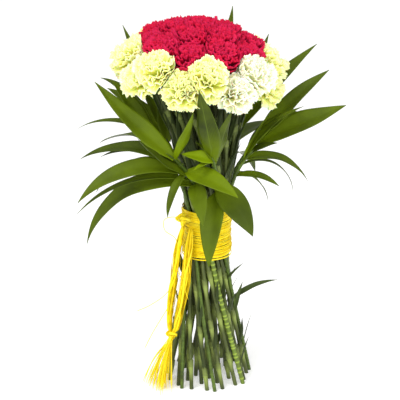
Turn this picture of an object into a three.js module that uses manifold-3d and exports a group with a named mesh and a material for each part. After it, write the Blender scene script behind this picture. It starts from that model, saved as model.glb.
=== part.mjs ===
// A hand-tied bunch of carnations that stands on its cut stem ends.
// A dome of red blooms sits inside a ring of cream ones. The stems spiral through a raffia
// tie, dracaena sprigs collar the blooms, and two raffia tails hang down to a frayed end.
// Millimetres, +Z up. Angles in the tables are degrees, counted from +X towards +Y.
import * as THREE from 'three';
import { mergeVertices } from 'three/addons/utils/BufferGeometryUtils.js';
import Module from 'manifold-3d';

const wasm = await Module();
wasm.setup();

// ---- Driving dimensions -------------------------------------------------------------
const GAP = 0.4; // clearance between neighbouring pieces

// The bundle of stems: it is tightest at the waist and opens both ways from there.
const WAIST_Z = 231;
const DOME_Z = 486; // foot of the topmost bloom
const SPLAY = 0.0085; // opening per millimetre away from the waist
const TWIST = -0.006; // radians of spiral per millimetre at the waist
const RED_FLARE = 0.33; // extra opening under the blooms
const CREAM_FLARE = 0.22;
const FLARE_RISE = 230; // height above the waist where that extra opening is reached
const LEAN = -12; // how far the middle of the dome stands off the tie, along X
const PRESS_REACH = 0.15 * DOME_Z; // how far from the waist the tie still presses stems together
const PRESS_SHARE = 0.76; // spacing of pressed stems, in stem diameters

const STEM_D = 6.8;
const STEM_STEPS = 11;
const STEM_SIDES = 6;
const STEM_BEND = 14; // the last stretch of a stem turns to follow its bloom
const CUT_BELOW = 8; // a stem is drawn this far under the floor and then cut level

// The blooms
const BLOOM_R = 31;
const BLOOM_SIDES = 9;
const CALYX_R = 5;
const CALYX_H = 24;
const HEAD_CENTRE_H = 38; // from the foot of the calyx to the middle of the petals
const HEAD_TOP_H = 19; // from there to the top of the petals
const DOME_TILT = 5; // the dome leans this many degrees towards +X

// Canes of the sprigs
const CANE_D = 5.8;
const CANE_TOP_Z = DOME_Z - 120;
const CANE_FLARE = 0.62; // a cane leans out more than the flower stems, once it is above the tie

// Rings of flowers, from the middle out. "drop" is how far the calyx foot is below the topmost one.
const CORE_R = STEM_D + 1.6;
const INNER_R = CORE_R + STEM_D + 2;
const OUTER_R = INNER_R + STEM_D + 3;
const CANE_R = OUTER_R + 2.5;
const RINGS = [
  { colour: 'red', count: 1, radius: 0, phase: 0, flare: RED_FLARE, drop: [0], nod: [0] },
  { colour: 'red', count: 5, radius: CORE_R, phase: 10, flare: RED_FLARE, drop: [5], nod: [9] },
  {
    colour: 'red', count: 10, radius: INNER_R, phase: -12, flare: RED_FLARE,
    drop: [16, 20], nod: [19, 22],
  },
  {
    colour: 'cream', count: 16, radius: OUTER_R, phase: -31.3, flare: CREAM_FLARE,
    drop: [24, 40], nod: [35, 46],
  },
];

// The raffia tie
const BAND_BOTTOM_Z = 195;
const BAND_TOP_Z = 268;
const BAND_WALL = 2.4;
const BAND_GAP = 0.9; // clearance round the outermost stems
const BAND_SIDES = 24;
const KNOT = { angle: 222, z: 257, r: 9, wide: 1.5, tall: 1.2 };
const TAIL_D = 16;
const TAIL_SIDES = 8;
const TAIL_END_SHARE = 0.55; // a tail's thickness at its knots, as a share of its thickness half way
// Each tail at the knot, half way and at the end knot: its angle, and how far it hangs off the stems
const TAILS = [
  { angles: [219, 209, 212], off: [7, 17, 15] },
  { angles: [238, 231, 222], off: [7, 12, 11] },
];
const TAIL_END_Z = 90;
const FRINGE = { angle: 214, knotR: 9, knotZ: 78, lowest: 0.8 };
const FRINGE_SIZES = { off: [11, 18], deep: [14.4, 16], wide: [14.4, 34] }; // at the end knot, at the floor

// The dracaena leaves: a lance-shaped blade, folded along its midrib
const LEAF_THICK = 1.7;
const LEAF_TIP = 1.4; // width of the point
const LEAF_FOLD = 0.2; // rise of the edges, as a share of the width
const LEAF_BASE = 0.32; // width where the leaf clasps the cane, as a share of the widest
const LEAF_STEPS = 5;
const UPRIGHT = 54; // a leaf that rises more steeply than this ends under the blooms
const UPRIGHT_SHARE = 31 / BLOOM_R; // and bigger blooms shorten it
const SPRIG_PHASE = -88.6; // angle of the first cane at the waist
// Each leaf: [drop below the cane's top, heading, length, rise at the base, rise at the tip, width, roll]
const SPRIGS = [
  [ // front left
    [6, 166, 156, 38, 47, 31, -38], [14, 157, 179, 56, -34, 15, -20], [20, 161, 164, 30, -35, 24, -26],
    [26, 159, 137, 35, -32, 13, -20], [36, 192, 177, 30, -51, 31, -28], [46, 190, 181, 21, -48, 14, -20],
    [54, 185, 199, 20, -77, 32, -30], [36, 223, 125, 25, 53, 28, -30], [30, -134, 74, -25, -89, 15, 0],
    [52, -80, 86, 1, -52, 26, 24], [30, -48, 109, 9, -19, 32, 30], [8, -62, 101, 50, 65, 20, 10],
  ],
  [ // front
    [66, -103, 114, -28, -91, 33, 0], [58, -45, 92, -14, -61, 38, 34], [6, -111, 134, 64, 66, 30, 10],
    [14, -58, 103, 64, 66, 26, 12], [4, 172, 46, 18, 4, 22, -30], [8, -152, 34, 14, -34, 13, 0],
    [2, 148, 38, 50, 24, 12, 0],
  ],
  [ // front right
    [6, -13, 113, 64, 26, 18, 26], [22, -24, 68, 55, 15, 20, 20], [14, -31, 98, 67, 54, 28, 20],
    [46, -19, 70, 22, -35, 15, 16],
  ],
  [ // right
    [6, -2, 140, 25, 24, 38, 34], [2, 16, 143, 54, 32, 28, 26], [34, 10, 116, 20, -62, 20, 20],
    [46, 20, 120, 29, -85, 11, 0], [52, 11, 77, -5, -84, 11, 0], [2, 4, 70, 61, 17, 20, 20],
  ],
  [ // back right
    [4, 36, 183, 44, 27, 27, 22], [6, 56, 155, 55, 56, 26, 0], [16, 92, 104, 64, 68, 30, 0],
    [30, 48, 150, 30, -30, 30, 0], [52, 66, 160, 16, -58, 30, 0],
  ],
  [ // back
    [16, 60, 196, 38, 80, 26, 0], [12, 118, 94, 62, 66, 30, 0], [14, 96, 150, 46, 20, 30, -12],
    [32, 96, 150, 26, -36, 31, 0], [52, 112, 165, 14, -62, 31, 0],
  ],
  [ // back left
    [4, 126, 174, 58, 50, 26, 0], [14, 92, 104, 64, 68, 30, 0], [8, 150, 116, 46, 16, 27, -24],
    [32, 142, 150, 26, -34, 30, 0], [52, 152, 165, 16, -60, 30, 0],
  ],
  [ // left
    [4, 168, 112, 69, 48, 28, -30], [8, 131, 158, 70, -6, 18, -24], [40, 180, 130, 14, -40, 22, -16],
  ],
];
// Short leaves left on the cream flowers' stems, below the tie: [stem, height, then as for a sprig's leaf]
const SHORT_LEAVES = [
  [0, 118, -4, 76, 48, 6, 9, 40], [15, 156, -16, 40, 55, 44, 6, 30], [8, 156, 172, 46, 66, 84, 13, -30],
];

// ---- Materials ----------------------------------------------------------------------
const finish = (color, roughness) => new THREE.MeshStandardMaterial({ color, roughness, metalness: 0 });
const MATERIALS = {
  red: finish('#cf1238', 0.75),
  cream: finish('#f3f2c0', 0.75),
  stem: finish('#6f8050', 0.6),
  leaf: finish('#3a5a16', 0.4),
  raffia: finish('#ecd420', 0.6),
};

// ---- Solids -------------------------------------------------------------------------
const rad = THREE.MathUtils.degToRad;

// A manifold solid from a closed three.js geometry.
function toSolid(geometry) {
  const bare = geometry.clone();
  bare.deleteAttribute('normal');
  bare.deleteAttribute('uv');
  const merged = mergeVertices(bare, 1e-4);
  const kept = [];
  for (let i = 0; i < merged.index.count; i += 3) {
    const [a, b, c] = [0, 1, 2].map((k) => merged.index.getX(i + k));
    if (a !== b && b !== c && c !== a) kept.push(a, b, c); // a pole leaves flat triangles
  }
  return new wasm.Manifold(new wasm.Mesh({
    numProp: 3,
    vertProperties: new Float32Array(merged.attributes.position.array),
    triVerts: new Uint32Array(kept),
  }));
}

// A union can close a pocket between a leaf base and its cane: grown tissue fills it.
function filled(solid) {
  const outer = solid.decompose().filter((part) => part.volume() > 0);
  return outer.length === 1 ? outer[0] : solid;
}

function toGeometry(solid) {
  const { vertProperties, triVerts } = solid.getMesh();
  const geometry = new THREE.BufferGeometry();
  geometry.setAttribute('position', new THREE.BufferAttribute(new Float32Array(vertProperties), 3));
  geometry.setIndex([...triVerts]);
  geometry.computeVertexNormals();
  return geometry;
}

// A round rod of one diameter along a smooth curve.
function rod(points, diameter, sides, steps) {
  const section = new THREE.Shape();
  for (let i = 0; i < sides; i++) {
    const a = (2 * Math.PI * i) / sides;
    const [x, y] = [Math.cos(a) * diameter / 2, Math.sin(a) * diameter / 2];
    if (i === 0) section.moveTo(x, y);
    else section.lineTo(x, y);
  }
  const extrudePath = new THREE.CatmullRomCurve3(points);
  return new THREE.ExtrudeGeometry(section, { steps, extrudePath, bevelEnabled: false });
}

// Everything beyond a plane, as one big block to cut with.
const BLOCK = 700;
function beyond(point, away) {
  const box = new THREE.BoxGeometry(BLOCK, BLOCK, BLOCK);
  box.applyQuaternion(new THREE.Quaternion().setFromUnitVectors(new THREE.Vector3(0, 0, 1), away));
  const middle = point.clone().addScaledVector(away, BLOCK / 2);
  return toSolid(box.translate(middle.x, middle.y, middle.z));
}

const belowFloor = beyond(new THREE.Vector3(), new THREE.Vector3(0, 0, -1));

// ---- The lay of the bundle ----------------------------------------------------------
const splayAt = (z) => Math.hypot(1, SPLAY * (z - WAIST_Z));
const flareAt = (z, flare) => 1 + flare * (Math.max(z - WAIST_Z, 0) / FLARE_RISE) ** 2;
const pressAt = (z) => Math.exp(-(((z - WAIST_Z) / PRESS_REACH) ** 2));
const leanAt = (z) => LEAN * (Math.max(z - BAND_TOP_Z, 0) / (DOME_Z - BAND_TOP_Z)) ** 2;

// A point that starts at (radius, angle) in the waist and is carried to height z.
function bundlePoint(radius, angle, z, flare = RED_FLARE) {
  const r = radius * splayAt(z) * flareAt(z, flare);
  const turned = rad(angle) + Math.atan(TWIST * (z - WAIST_Z));
  return new THREE.Vector3(r * Math.cos(turned) + leanAt(z), r * Math.sin(turned), z);
}

// Stems of the core lean on the middle one, and the others lean on one neighbour, in pairs.
function stemPoint({ ring, index }, z) {
  const step = 360 / ring.count;
  const angle = ring.phase + step * index;
  const pressed = PRESS_SHARE * STEM_D;
  if (ring.radius === 0) return bundlePoint(0, 0, z);
  if (ring.radius === CORE_R) {
    return bundlePoint(ring.radius + (pressed - ring.radius) * pressAt(z), angle, z, ring.flare);
  }
  const halfPressed = THREE.MathUtils.radToDeg(Math.asin(pressed / 2 / ring.radius));
  const lean = (step / 2 - halfPressed) * pressAt(z) * (index % 2 === 0 ? 1 : -1);
  return bundlePoint(ring.radius, angle + lean, z, ring.flare);
}

// Where each flower's head stands and which way it looks.
function headOf(flower) {
  const { ring, index } = flower;
  const nod = rad(ring.nod[index % ring.nod.length]);
  const lift = DOME_Z - ring.drop[index % ring.drop.length];
  const level = stemPoint(flower, lift);
  const foot = stemPoint(flower, lift - Math.tan(rad(DOME_TILT)) * (level.x - leanAt(lift)));
  const out = new THREE.Vector3(foot.x - leanAt(foot.z), foot.y, 0);
  if (out.length() > 0) out.normalize();
  const axis = out.multiplyScalar(Math.sin(nod)).add(new THREE.Vector3(0, 0, Math.cos(nod)));
  axis.applyAxisAngle(new THREE.Vector3(0, 1, 0), rad(DOME_TILT)).normalize();
  const centre = foot.clone().addScaledVector(axis, HEAD_CENTRE_H);
  return { foot, axis, centre };
}

const flowers = RINGS.flatMap((ring) => Array.from({ length: ring.count }, (_, index) => ({ ring, index })));
flowers.forEach((flower) => Object.assign(flower, headOf(flower)));

// ---- Blooms -------------------------------------------------------------------------
function bloomSolid({ foot, axis }) {
  const [mouth, middle, top] = [CALYX_H * 0.8, HEAD_CENTRE_H, HEAD_CENTRE_H + HEAD_TOP_H];
  const profile = [
    [0, 0], [CALYX_R, 0], [CALYX_R + 2, mouth], [BLOOM_R * 0.88, middle - 8], [BLOOM_R, middle],
    [BLOOM_R * 0.84, middle + HEAD_TOP_H * 0.7], [BLOOM_R * 0.5, top - 1], [0, top],
  ].map(([x, y]) => new THREE.Vector2(x, y));
  const geometry = new THREE.LatheGeometry(profile, BLOOM_SIDES); // turned about +Y
  geometry.applyQuaternion(new THREE.Quaternion().setFromUnitVectors(new THREE.Vector3(0, 1, 0), axis));
  return toSolid(geometry.translate(foot.x, foot.y, foot.z));
}

// Blooms that touch flatten each other half way between their middles.
function pressedBloom(flower) {
  let solid = bloomSolid(flower);
  for (const other of flowers) {
    const apart = other.centre.distanceTo(flower.centre);
    if (other === flower || apart > 2 * BLOOM_R + GAP) continue;
    const away = other.centre.clone().sub(flower.centre).normalize();
    const face = flower.centre.clone().addScaledVector(away, apart / 2 - GAP / 2);
    solid = solid.subtract(beyond(face, away));
  }
  return solid;
}

// ---- Stems --------------------------------------------------------------------------
// Heights from just under the floor to a top, for a rod that is then cut level.
function rodHeights(top) {
  const tall = top + CUT_BELOW;
  return Array.from({ length: STEM_STEPS }, (_, i) => (tall * i) / (STEM_STEPS - 1) - CUT_BELOW);
}

function stemSolid(flower) {
  const { foot, axis } = flower;
  const points = rodHeights(foot.z - STEM_BEND).map((z) => stemPoint(flower, z));
  points.push(foot);
  const underBloom = foot.clone().addScaledVector(axis, -GAP);
  const whole = toSolid(rod(points, STEM_D, STEM_SIDES, STEM_STEPS));
  return whole.subtract(belowFloor).subtract(beyond(underBloom, axis));
}

function canePoint(angle, z) {
  const above = Math.max(z - BAND_TOP_Z, 0) / (CANE_TOP_Z - BAND_TOP_Z);
  return bundlePoint(CANE_R * (1 + CANE_FLARE * above ** 2), angle, z);
}

function caneSolid(angle) {
  const points = rodHeights(CANE_TOP_Z).map((z) => canePoint(angle, z));
  return toSolid(rod(points, CANE_D, STEM_SIDES, STEM_STEPS)).subtract(belowFloor);
}

// ---- Leaves -------------------------------------------------------------------------
// Share of the full width at t along the leaf, from its clasping base to its point.
function leafOutline(t) {
  return Math.max(LEAF_BASE * (1 - t), Math.sin(Math.PI * t ** 0.72) ** 0.9);
}

// A blade that leaves "start" on a heading; its rise turns evenly from base to tip.
function leafSolid(start, [heading, fullLength, rise, tipRise, width, roll]) {
  const length = fullLength * (rise > UPRIGHT ? UPRIGHT_SHARE : 1);
  const out = new THREE.Vector3(Math.cos(rad(heading)), Math.sin(rad(heading)), 0);
  const across = new THREE.Vector3(-out.y, out.x, 0);
  const up = new THREE.Vector3(0, 0, 1);
  const turn = rad(tipRise - rise) || 1e-6;
  const geometry = new THREE.BoxGeometry(1, 1, 1, 2, LEAF_STEPS, 1);
  const position = geometry.attributes.position;
  for (let i = 0; i < position.count; i++) {
    const u = -position.getX(i);
    const t = position.getY(i) + 0.5;
    const slope = rad(rise) + turn * t;
    const forward = (length * (Math.sin(slope) - Math.sin(rad(rise)))) / turn;
    const climb = (length * (Math.cos(rad(rise)) - Math.cos(slope))) / turn;
    const normal = up.clone().multiplyScalar(Math.cos(slope)).addScaledVector(out, -Math.sin(slope));
    const [c, s] = [Math.cos(rad(roll)), Math.sin(rad(roll))];
    const side = across.clone().multiplyScalar(c).addScaledVector(normal, s);
    const face = normal.clone().multiplyScalar(c).addScaledVector(across, -s);
    const wide = Math.max(width * leafOutline(t), LEAF_TIP);
    const fold = Math.abs(u) * 2 * LEAF_FOLD * wide;
    const point = start.clone().addScaledVector(out, forward).addScaledVector(up, climb)
      .addScaledVector(side, u * wide).addScaledVector(face, fold + position.getZ(i) * LEAF_THICK);
    position.setXYZ(i, point.x, point.y, point.z);
  }
  return toSolid(geometry);
}

function sprigSolid(leaves, angle) {
  const blades = leaves.map(([drop, ...leaf]) => leafSolid(canePoint(angle, CANE_TOP_Z - drop), leaf));
  return blades.reduce((solid, blade) => solid.add(blade), caneSolid(angle));
}

// ---- Raffia -------------------------------------------------------------------------
const outerStemR = (z) => CANE_R * splayAt(z) * flareAt(z, RED_FLARE) + CANE_D / 2;
const towards = (angle, r, z) => new THREE.Vector3(r * Math.cos(rad(angle)), r * Math.sin(rad(angle)), z);

// Places each point of a geometry that is drawn about +Z: "place" takes its height, and gives the
// angle and distance of the middle there with the half sizes along and across that direction.
function laidOut(geometry, place) {
  const position = geometry.attributes.position;
  for (let i = 0; i < position.count; i++) {
    const { angle, r, deep, wide, z } = place(position.getZ(i));
    const out = towards(angle, 1, 0);
    const along = r + position.getX(i) * deep;
    const across = position.getY(i) * wide;
    position.setXYZ(i, out.x * along - out.y * across, out.y * along + out.x * across, z);
  }
  return toSolid(geometry);
}

// A band that follows the waist of the bundle.
const flatten = 1 / Math.cos(Math.PI / BAND_SIDES); // keeps the band's flats clear of the stems
const bandInnerR = (z) => (outerStemR(z) + BAND_GAP) * flatten;

function bandSolid() {
  const rows = 5;
  const tall = BAND_TOP_Z - BAND_BOTTOM_Z;
  const heights = Array.from({ length: rows }, (_, i) => BAND_BOTTOM_Z + (tall * i) / (rows - 1));
  const inner = heights.map((z) => new THREE.Vector2(bandInnerR(z), z));
  const outer = inner.map(({ x, y }) => new THREE.Vector2(x + BAND_WALL, y)).reverse();
  const profile = [...inner, ...outer, inner[0]].reverse();
  return toSolid(new THREE.LatheGeometry(profile, BAND_SIDES).rotateX(Math.PI / 2));
}

const BAND_OUT_R = bandInnerR(KNOT.z) + BAND_WALL;
const KNOT_R = BAND_OUT_R + KNOT.r + GAP; // distance of the knot's middle from the axis

function knotSolid() {
  const place = towards(KNOT.angle, KNOT_R, KNOT.z);
  const ball = new THREE.SphereGeometry(KNOT.r, 12, 8).scale(1, KNOT.wide, KNOT.tall);
  return toSolid(ball.rotateZ(rad(KNOT.angle)).translate(place.x, place.y, place.z));
}

// A value that passes through three given ones at t = 0, 1/2 and 1.
const through = ([a, b, c], t) => a + (c - a) * t + (b - (a + c) / 2) * 4 * t * (1 - t);

// A tail hangs from the knot, swells half way and narrows to the end knot.
function tailSolid({ angles, off }) {
  const startZ = KNOT.z - KNOT.r * KNOT.tall - GAP;
  const geometry = new THREE.CylinderGeometry(1, 1, 1, TAIL_SIDES, 10).rotateX(Math.PI / 2);
  return laidOut(geometry, (height) => {
    const t = 0.5 - height;
    const z = startZ + (TAIL_END_Z - startZ) * t;
    const half = (TAIL_D / 2) * 0.92 * through([TAIL_END_SHARE, 1, TAIL_END_SHARE], t);
    const r = Math.max(BAND_OUT_R, outerStemR(z)) + through(off, t);
    return { angle: through(angles, t), r, deep: half, wide: half, z };
  });
}

// The end knot and the frayed strands below it, spread along the floor.
function fringeSolid() {
  const { angle, knotR, knotZ, lowest } = FRINGE;
  const profile = [
    [0, lowest], [1, lowest], [0.8, 14], [0.45, 36], [0.3, knotZ - knotR - 2], [0.62, knotZ - 3],
    [0.5, knotZ + 5], [0, knotZ + knotR],
  ].map(([share, z]) => new THREE.Vector2(share, z));
  const geometry = new THREE.LatheGeometry(profile, 12).rotateX(Math.PI / 2);
  return laidOut(geometry, (z) => {
    const open = Math.max(1 - z / knotZ, 0);
    const [off, deep, wide] = ['off', 'deep', 'wide'].map((size) => {
      const [atKnot, atFloor] = FRINGE_SIZES[size];
      return atKnot + (atFloor - atKnot) * open;
    });
    return { angle, r: outerStemR(z) + off, deep, wide, z };
  });
}

// ---- The bunch ----------------------------------------------------------------------
const bunch = new THREE.Group();
bunch.name = 'carnation_bunch';

function addPiece(name, solid, material) {
  const mesh = new THREE.Mesh(toGeometry(filled(solid)), material);
  mesh.name = name;
  bunch.add(mesh);
}
const two = (n) => String(n).padStart(2, '0');

for (const colour of ['red', 'cream']) {
  flowers.filter(({ ring }) => ring.colour === colour).forEach((flower, i) => {
    addPiece(`${colour}_bloom_${two(i + 1)}`, pressedBloom(flower), MATERIALS[colour]);
  });
}

// The core stems are pressed into one bundle, and the others touch in pairs.
function withShortLeaves(flower) {
  return SHORT_LEAVES.filter(([stem]) => flower.ring.colour === 'cream' && flower.index === stem)
    .reduce((solid, [, z, ...leaf]) => solid.add(leafSolid(stemPoint(flower, z), leaf)), stemSolid(flower));
}
const core = flowers.filter(({ ring }) => ring.radius <= CORE_R);
addPiece('red_stems_core', core.map(withShortLeaves).reduce((a, b) => a.add(b)), MATERIALS.stem);
for (const ring of RINGS.filter(({ radius }) => radius > CORE_R)) {
  const own = flowers.filter((flower) => flower.ring === ring);
  for (let i = 0; i < own.length; i += 2) {
    const pair = withShortLeaves(own[i]).add(withShortLeaves(own[i + 1]));
    addPiece(`${ring.colour}_stem_pair_${two(i / 2 + 1)}`, pair, MATERIALS.stem);
  }
}

SPRIGS.forEach((leaves, i) => {
  const angle = SPRIG_PHASE + (360 / SPRIGS.length) * i;
  addPiece(`dracaena_sprig_${i + 1}`, sprigSolid(leaves, angle), MATERIALS.leaf);
});

addPiece('raffia_band', bandSolid(), MATERIALS.raffia);
addPiece('raffia_knot', knotSolid(), MATERIALS.raffia);
TAILS.forEach((tail, i) => addPiece(`raffia_tail_${i + 1}`, tailSolid(tail), MATERIALS.raffia));
addPiece('raffia_fringe', fringeSolid(), MATERIALS.raffia);

// The origin is under the middle of the bunch, on the floor.
const box = new THREE.Box3().setFromObject(bunch);
const middle = box.getCenter(new THREE.Vector3());
bunch.position.set(-middle.x, -middle.y, 0);

export default bunch;
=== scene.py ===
"""A hand-tied bunch of carnations that stands on its cut stem ends.

A dome of red carnations sits inside a ring of cream ones. Their stems spiral through a wide raffia tie, dracaena
sprigs make a collar under the blooms, and two raffia tails hang from the knot to a frayed end on the floor.

Lengths are millimetres until a mesh is written, which is in metres. Angles in the tables are degrees from +X to +Y.
The lay of the bundle repeats the solid model's own formula, so that every piece lands on the solid it stands for.
"""

import logging
import math
from dataclasses import dataclass, field
from enum import Enum

import bpy
import numpy as np
from numpy.typing import NDArray
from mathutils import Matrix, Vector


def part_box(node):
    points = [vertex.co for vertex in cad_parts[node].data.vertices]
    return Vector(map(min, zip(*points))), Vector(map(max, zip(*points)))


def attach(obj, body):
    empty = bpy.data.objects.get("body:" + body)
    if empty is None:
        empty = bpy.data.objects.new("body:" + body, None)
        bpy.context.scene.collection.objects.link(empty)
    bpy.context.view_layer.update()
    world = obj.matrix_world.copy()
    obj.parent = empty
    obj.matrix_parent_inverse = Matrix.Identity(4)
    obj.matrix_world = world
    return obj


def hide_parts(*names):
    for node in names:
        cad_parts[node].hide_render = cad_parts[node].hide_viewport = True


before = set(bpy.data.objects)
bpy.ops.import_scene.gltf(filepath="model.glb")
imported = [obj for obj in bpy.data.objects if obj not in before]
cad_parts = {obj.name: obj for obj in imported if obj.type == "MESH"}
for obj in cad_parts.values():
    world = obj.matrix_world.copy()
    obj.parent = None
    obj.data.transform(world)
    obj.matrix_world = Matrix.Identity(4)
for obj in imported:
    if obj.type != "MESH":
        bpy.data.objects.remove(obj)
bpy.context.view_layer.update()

Array = NDArray[np.float64]
log = logging.getLogger("carnations")

MM = 0.001
BODY = "root"
SHADE = "shade"  # the point attribute that varies from petal to petal or strand to strand
FACE = "face"  # the point attribute that is 1 on a blade's underside or a stem's cut end


# ---- Small numeric helpers -----------------------------------------------------------------------


def unit(v: Array) -> Array:
    """Vectors scaled to length one.

    Args:
        v: vectors along the last axis.

    Returns:
        The same vectors with length one; a zero vector stays zero.
    """
    return v / np.maximum(np.linalg.norm(v, axis=-1, keepdims=True), 1e-12)


def turned_to(axis: Array) -> Array:
    """A rotation that takes +Z to an axis by the shortest way (Rodrigues' formula).

    Args:
        axis: a unit vector.

    Returns:
        The 3 x 3 rotation matrix.
    """
    x, y, z = axis
    k = np.array([[0, 0, x], [0, 0, y], [-x, -y, 0]])
    return np.eye(3) + k + k @ k / (1 + z)


def carried(line: Array, sides: int, across: Array, up: Array, radius_across: Array, radius_up: Array) -> Array:
    """A tube: an ellipse of points carried along a line, one ring for each of its points.

    Args:
        line: the line's points, (n, 3).
        sides: how many points the section has.
        across: the section's first axis at each point, (n, 3) or (3,).
        up: the section's second axis at each point, (n, 3) or (3,).
        radius_across: half the section's size along the first axis, at each point.
        radius_up: half the section's size along the second axis, at each point.

    Returns:
        A grid of points, (n, sides, 3), that wraps round its second direction.
    """
    a = np.linspace(0, 2 * np.pi, sides, endpoint=False)
    across = np.broadcast_to(across, line.shape)[:, None, :]
    up = np.broadcast_to(up, line.shape)[:, None, :]
    wide = np.broadcast_to(radius_across, len(line))[:, None, None]
    high = np.broadcast_to(radius_up, len(line))[:, None, None]
    return line[:, None, :] + across * wide * np.cos(a)[None, :, None] + up * high * np.sin(a)[None, :, None]


def frames(line: Array, hint: Array) -> tuple[Array, Array]:
    """Two directions square to a line at each of its points, the second as near to a hint as it can be.

    Args:
        line: the line's points, (n, 3).
        hint: the direction that the second one keeps near, (3,) or (n, 3).

    Returns:
        The first and the second direction, (n, 3) each; first x second points along the line.
    """
    along = unit(np.gradient(line, axis=0))
    up = hint - along * np.sum(along * hint, axis=1, keepdims=True)
    up = unit(up)
    return np.cross(up, along), up


def smooth_line(points: list[tuple[float, float, float]], count: int) -> Array:
    """A Catmull-Rom curve through given points.

    Args:
        points: the points that the curve passes through.
        count: how many points the curve gets.

    Returns:
        The curve's points, (count, 3).
    """
    p = np.array(points, float)
    p = np.concatenate([[2 * p[0] - p[1]], p, [2 * p[-1] - p[-2]]])
    t = np.linspace(0, len(points) - 1 - 1e-9, count)
    i = t.astype(int)
    f = (t - i)[:, None]
    a, b, c, d = p[i], p[i + 1], p[i + 2], p[i + 3]
    return 0.5 * (2 * b + (c - a) * f + (2 * a - 5 * b + 4 * c - d) * f**2 + (3 * b - a - 3 * c + d) * f**3)


# ---- Writing meshes ------------------------------------------------------------------------------


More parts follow.
